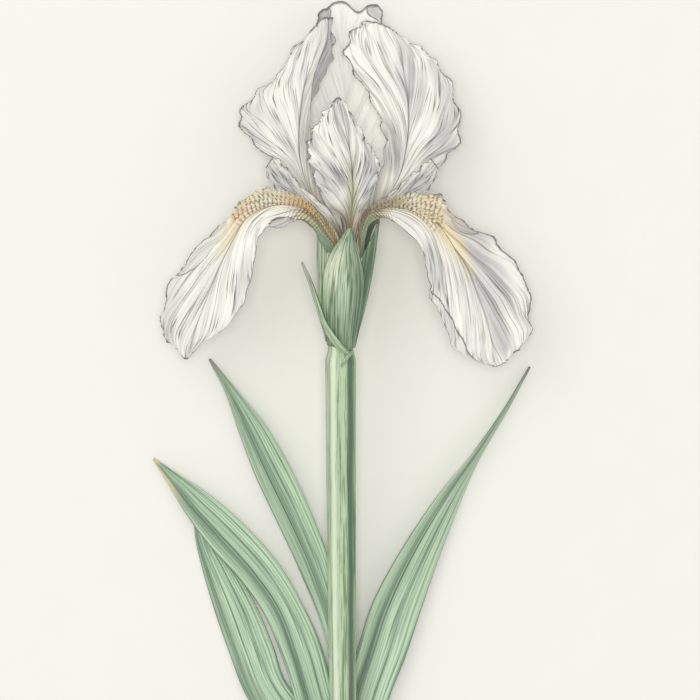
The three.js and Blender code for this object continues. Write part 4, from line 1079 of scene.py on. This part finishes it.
# Long streaks along the stem, with a painted highlight to the left of it and painted shade to the right.
def stemMaterial():
    look = stemLook
    material, tree, shader = newMaterial("stemGreen")
    left, up, along = attributeParts(tree, "around")
    broad = noise(tree, combined(tree, left, up, times(tree, along, 1.6)), 3.2, 3.0, 0.6)
    fine = noise(tree, combined(tree, left, up, times(tree, along, 1.1)), 13.0, 2.0, 0.6)
    place = objectPlace(tree)
    cloud = noise(tree, place, 25.0, 3.0, 0.5)
    colour = mixed(tree, ranged(tree, cloud, 0.35, 0.7), look["green"], look["light"])
    colour = mixed(tree, ranged(tree, broad, 0.52, 0.68, 0.0, 0.7), colour, look["dark"])
    bend = times(tree, minus(tree, cloud, 0.5), 0.12)
    side = plus(tree, left, bend)
    # A painted highlight down the left side and painted shade down the right.
    highlightAt = away(tree, side, 0.55)
    shadeAt = maths(tree, "ABSOLUTE", plus(tree, side, 0.62))
    highlightStreak = ranged(tree, highlightAt, 0.02, 0.28, 0.85, 0.0)
    colour = mixed(tree, highlightStreak, colour, look["highlightStreak"])
    colour = mixed(tree, ranged(tree, shadeAt, 0.06, 0.38, 0.88, 0.0), colour, look["dark"])
    flecks = times(tree, ranged(tree, fine, 0.54, 0.64, 0.0, 0.6), minus(tree, 1.0, highlightStreak))
    colour = mixed(tree, flecks, colour, look["dark"])
    tree.links.new(colour, shader.inputs["Base Color"])
    shader.inputs["Roughness"].default_value = look["roughness"]
    shader.inputs["Coat Weight"].default_value = 0.05
    addBump(tree, shader, plus(tree, broad, fine), 0.4, 0.0003)
    return material


def makeStem():
    def radiusAt(share, angle):
        base = stem["footRadius"] + (stem["topRadius"] - stem["footRadius"]) * share
        narrowing = stem["shoulder"] * smooth(share, 0.966, 0.996)
        return base - narrowing + stem["ribHeight"] * np.cos(stem["ribs"] * angle)
    foot, top = np.array(stem["foot"]), np.array(stem["top"])
    middle = (foot + top) / 2 + (stem["bow"], 0, 0)
    piece = sweepPiece([foot, middle, top], radiusAt, stem["sides"], stem["steps"])
    finishPiece(piece, "stem", "stem", stemMaterial(), smoothAngle=40)
    print("stem made")


ovary = {"route": [[-2.7, 1.6, 25.8], [-2.1, 8, 26], [-1, 17, 26.6], [0, 25.1, 27]],
         "radii": [1.7, 2.3, 2.0, 4.0]}
stamens = {
    "filament": 0.36, "anther": 0.7,
    "stamenLeft": {"node": "stamen_left", "route": [
        [-2.2, 27.6, 28.2], [-4.6, 33.6, 29.2], [-8, 38.2, 29.8], [-12.4, 41.6, 29.8], [-18, 43.6, 29.2]]},
    "stamenRight": {"node": "stamen_right", "route": [
        [2.0, 27.6, 28.1], [2.6, 33.6, 29.0], [5, 38.6, 29.4], [9.6, 41.4, 30.0], [16.4, 43.6, 29.8]]},
    "stamenBack": {"node": "stamen_back", "route": [
        [0, 27.6, 24.5], [0, 34, 23.0], [0, 42, 18.0], [0, 50, 12.8], [0, 55, 10.6]]},
}


def speckledMaterial(name, base, spot, scale, roughness):
    material, tree, shader = newMaterial(name)
    place = objectPlace(tree)
    grain = noise(tree, place, scale, 3.0, 0.6)
    colour = mixed(tree, ranged(tree, grain, 0.4, 0.65), base, spot)
    tree.links.new(colour, shader.inputs["Base Color"])
    shader.inputs["Roughness"].default_value = roughness
    addBump(tree, shader, grain, 0.4, 0.0002)
    return material


def makeInnerParts():
    radii = np.array(ovary["radii"], float)[:, None]
    tube = sweepPiece(ovary["route"], lambda s, a: curveThrough(radii, s)[..., 0], 36, 30)
    finishPiece(tube, "ovaryAndTube", "ovary_and_tube",
                speckledMaterial("ovaryGreen", (0.42, 0.55, 0.30), (0.58, 0.66, 0.42), 300.0, 0.5), 40)
    cream = speckledMaterial("stamenCream", (0.80, 0.76, 0.58), (0.66, 0.58, 0.34), 1600.0, 0.7)
    for name in ("stamenLeft", "stamenRight", "stamenBack"):
        def radiusAt(share, angle):
            swelling = smooth(share, 0.55, 0.65)
            ending = 1 - 0.7 * smooth(share, 0.92, 1.0)
            groove = 1 - 0.18 * swelling * np.cos(2 * angle)
            radius = stamens["filament"] + (stamens["anther"] - stamens["filament"]) * swelling
            return radius * ending * groove
        piece = sweepPiece(stamens[name]["route"], radiusAt, 20, 40)
        finishPiece(piece, name, stamens[name]["node"], cream, 50)
    print("ovary and stamens made")


beards = {
    "hairs": 950, "length": 1.9, "radius": 0.12, "sides": 5, "bend": 0.5, "comb": 0.45,
    "lift": 0.15, "rowSpread": 0.09, "leanSpread": 0.1, "nearestMargin": -0.94,
    "root": (0.20, 0.12, 0.05), "butter": (0.96, 0.89, 0.66), "pale": (0.98, 0.95, 0.84),
    "beardLeft": {"node": "beard_left", "sheet": fallLeft, "start": 0.24, "end": 0.57, "middle": -0.33,
                  "halfWidth": 0.36, "rows": 21, "seed": 11, "tuft": 0.66, "drift": -0.2,
                  "inner": (0.80, 0.54, 0.20), "innerEnd": 0.55, "outer": (0.93, 0.68, 0.46)},
    "beardRight": {"node": "beard_right", "sheet": fallRight, "start": 0.22, "end": 0.54, "middle": -0.33,
                   "halfWidth": 0.36, "rows": 19, "seed": 23, "drift": -0.24,
                   "inner": (0.46, 0.40, 0.25), "innerEnd": 0.66, "outer": (0.94, 0.80, 0.54)},
    "beardBack": {"node": "beard_back", "sheet": fallBack, "start": 0.36, "end": 0.62, "middle": 0.0,
                  "halfWidth": 0.2, "rows": 14, "seed": 37, "inner": (0.5, 0.36, 0.15), "innerEnd": 0.4,
                  "outer": (0.92, 0.76, 0.48)},
}


# One hair: a cone cut into a few lengths, one unit tall, standing on the origin.
def hairShape():
    deselectAll()
    bpy.ops.mesh.primitive_cone_add(vertices=beards["sides"], radius1=beards["radius"],
                                    radius2=beards["radius"] * 0.35, depth=1, location=(0, 0, 0.5))
    hair = bpy.context.object
    bpy.ops.object.transform_apply(location=True, rotation=False, scale=False)
    bpy.ops.object.mode_set(mode="EDIT")
    for height in (0.35, 0.7):
        bpy.ops.mesh.select_all(action="SELECT")
        bpy.ops.mesh.bisect(plane_co=(0, 0, height), plane_no=(0, 0, 1))
    bpy.ops.object.mode_set(mode="OBJECT")
    points = np.array([vertex.co[:] for vertex in hair.data.vertices])
    faces = [tuple(face.vertices) for face in hair.data.polygons]
    bpy.data.objects.remove(hair)
    return points, faces


def surfaceFrame(sheet, u, v):
    step = 0.004
    alongU = sheetPoints(sheet, u + step, v) - sheetPoints(sheet, u - step, v)
    alongV = sheetPoints(sheet, u, v + step) - sheetPoints(sheet, u, v - step)
    normal = unit(np.cross(alongV, alongU))
    normal = np.where(normal[..., 2:] < 0, -normal, normal)  # the face that looks up
    return normal, unit(alongU)


# The hairs' "comb" attribute holds the height on the hair and the share along the beard.
def beardMaterial(name, inner, innerEnd, outer):
    material, tree, shader = newMaterial(name + "Hair")
    place = objectPlace(tree)
    height, share, _ = attributeParts(tree, "comb")
    patch = noise(tree, place, 350.0, 3.0, 0.6)
    colour = mixed(tree, ranged(tree, patch, 0.42, 0.62), beards["butter"], beards["pale"])
    colour = mixed(tree, ranged(tree, share, innerEnd - 0.4, innerEnd, 0.85, 0.0), colour, inner)
    colour = mixed(tree, ranged(tree, share, 0.7, 0.95, 0.0, 0.7), colour, outer)
    colour = mixed(tree, ranged(tree, height, 0.05, 0.55, 0.95, 0.0), colour, beards["root"])
    tree.links.new(colour, shader.inputs["Base Color"])
    shader.inputs["Roughness"].default_value = 0.7
    shader.inputs["Sheen Weight"].default_value = 0.2
    addBump(tree, shader, patch, 0.2, 0.0001)
    return material


# Every hair of a beard in rows across the fall, and each hair's share along the beard.
def growHairs(beard, shape):
    draw = np.random.default_rng(beard["seed"])
    count = beards["hairs"]
    row = np.floor(np.arange(count) * beard["rows"] / count)
    share = (row + 0.5 + beards["rowSpread"] * draw.normal(size=count)) / beard["rows"]
    share = np.clip(share, 0.005, 0.995)
    along = beard["start"] + (beard["end"] - beard["start"]) * share
    width = beard["halfWidth"] * np.sqrt(np.maximum(0.08, 1 - (2 * share - 1) ** 4))
    across = beard["middle"] + beard.get("drift", 0.0) * share**2 + width * (2 * draw.random(count) - 1)
    across = np.maximum(across, beards["nearestMargin"])
    normal, ahead = surfaceFrame(beard["sheet"], along, across)
    root = sheetPoints(beard["sheet"], along, across) + normal * beards["lift"]
    size = beards["length"] * (0.7 + 0.45 * draw.random(count)) * (0.55 + 0.45 * np.sin(math.pi * share))
    if "tuft" in beard:  # a few long hairs that stand out over the margin
        tuft = np.exp(-(((share - beard["tuft"]) / 0.035) ** 2)) * smooth(-across, 0.4, 0.6)
        size = size * (1 + 1.2 * tuft)
    outward = unit(np.cross(ahead, normal))
    towards = sheetPoints(beard["sheet"], along, across - 0.02) - sheetPoints(beard["sheet"], along, across)
    outward = outward * np.sign(np.sum(outward * towards, axis=-1, keepdims=True))
    spread = beards["leanSpread"] * draw.normal(size=(count, 3))
    lean = unit(normal + 0.2 * ahead + beards["comb"] * outward + spread)
    sideways = unit(np.cross(lean, ahead))
    third = np.cross(lean, sideways)
    height = shape[:, 2][None, :, None]
    bend = ahead[:, None, :] * (beards["bend"] * height**2)
    points = root[:, None, :] + lean[:, None, :] * height * size[:, None, None] + bend
    points = points + sideways[:, None, :] * shape[:, 0][None, :, None]
    points = points + third[:, None, :] * shape[:, 1][None, :, None]
    return (points.reshape(-1, 3) + resting) * mm, share


def makeBeards():
    shape, faces = hairShape()
    count, stride = beards["hairs"], len(shape)
    everyFace = [tuple(corner + k * stride for corner in face) for k in range(count) for face in faces]
    for name in ("beardLeft", "beardRight", "beardBack"):
        beard = beards[name]
        points, share = growHairs(beard, shape)
        mesh = bpy.data.meshes.new(name)
        mesh.from_pydata(points.tolist(), [], everyFace)
        mesh.update()
        comb = mesh.attributes.new("comb", "FLOAT_VECTOR", "POINT")
        heights = np.tile(shape[:, 2], count)
        shares = np.repeat(share, stride)
        comb.data.foreach_set("vector", np.stack([heights, shares, 0 * shares], axis=-1).ravel())
        piece = bpy.data.objects.new(name, mesh)
        bpy.context.collection.objects.link(piece)
        material = beardMaterial(name, beard["inner"], beard["innerEnd"], beard["outer"])
        finishPiece(piece, name, beard["node"], material, 60)
    print("beards made")


floorLook = {"colour": (0.90, 0.89, 0.835), "size": 6.0, "drop": 0.00005}


def makeFloor():
    deselectAll()
    bpy.ops.mesh.primitive_plane_add(size=floorLook["size"], location=(0, 0, -floorLook["drop"]))
    floor = bpy.context.object
    floor.name = "table"
    material, tree, shader = newMaterial("tableTop")
    place = objectPlace(tree)
    grain = noise(tree, place, 60.0, 4.0, 0.6)
    paler = tuple(0.97 * value for value in floorLook["colour"])
    tree.links.new(mixed(tree, grain, floorLook["colour"], paler), shader.inputs["Base Color"])
    shader.inputs["Roughness"].default_value = 0.9
    floor.data.materials.append(material)


makeCamera()
makeLights()
makeFloor()
makeStem()
makeInnerParts()
makeSpathe()
makeLeaves()
makePetals()
makeBeards()

deselectAll()
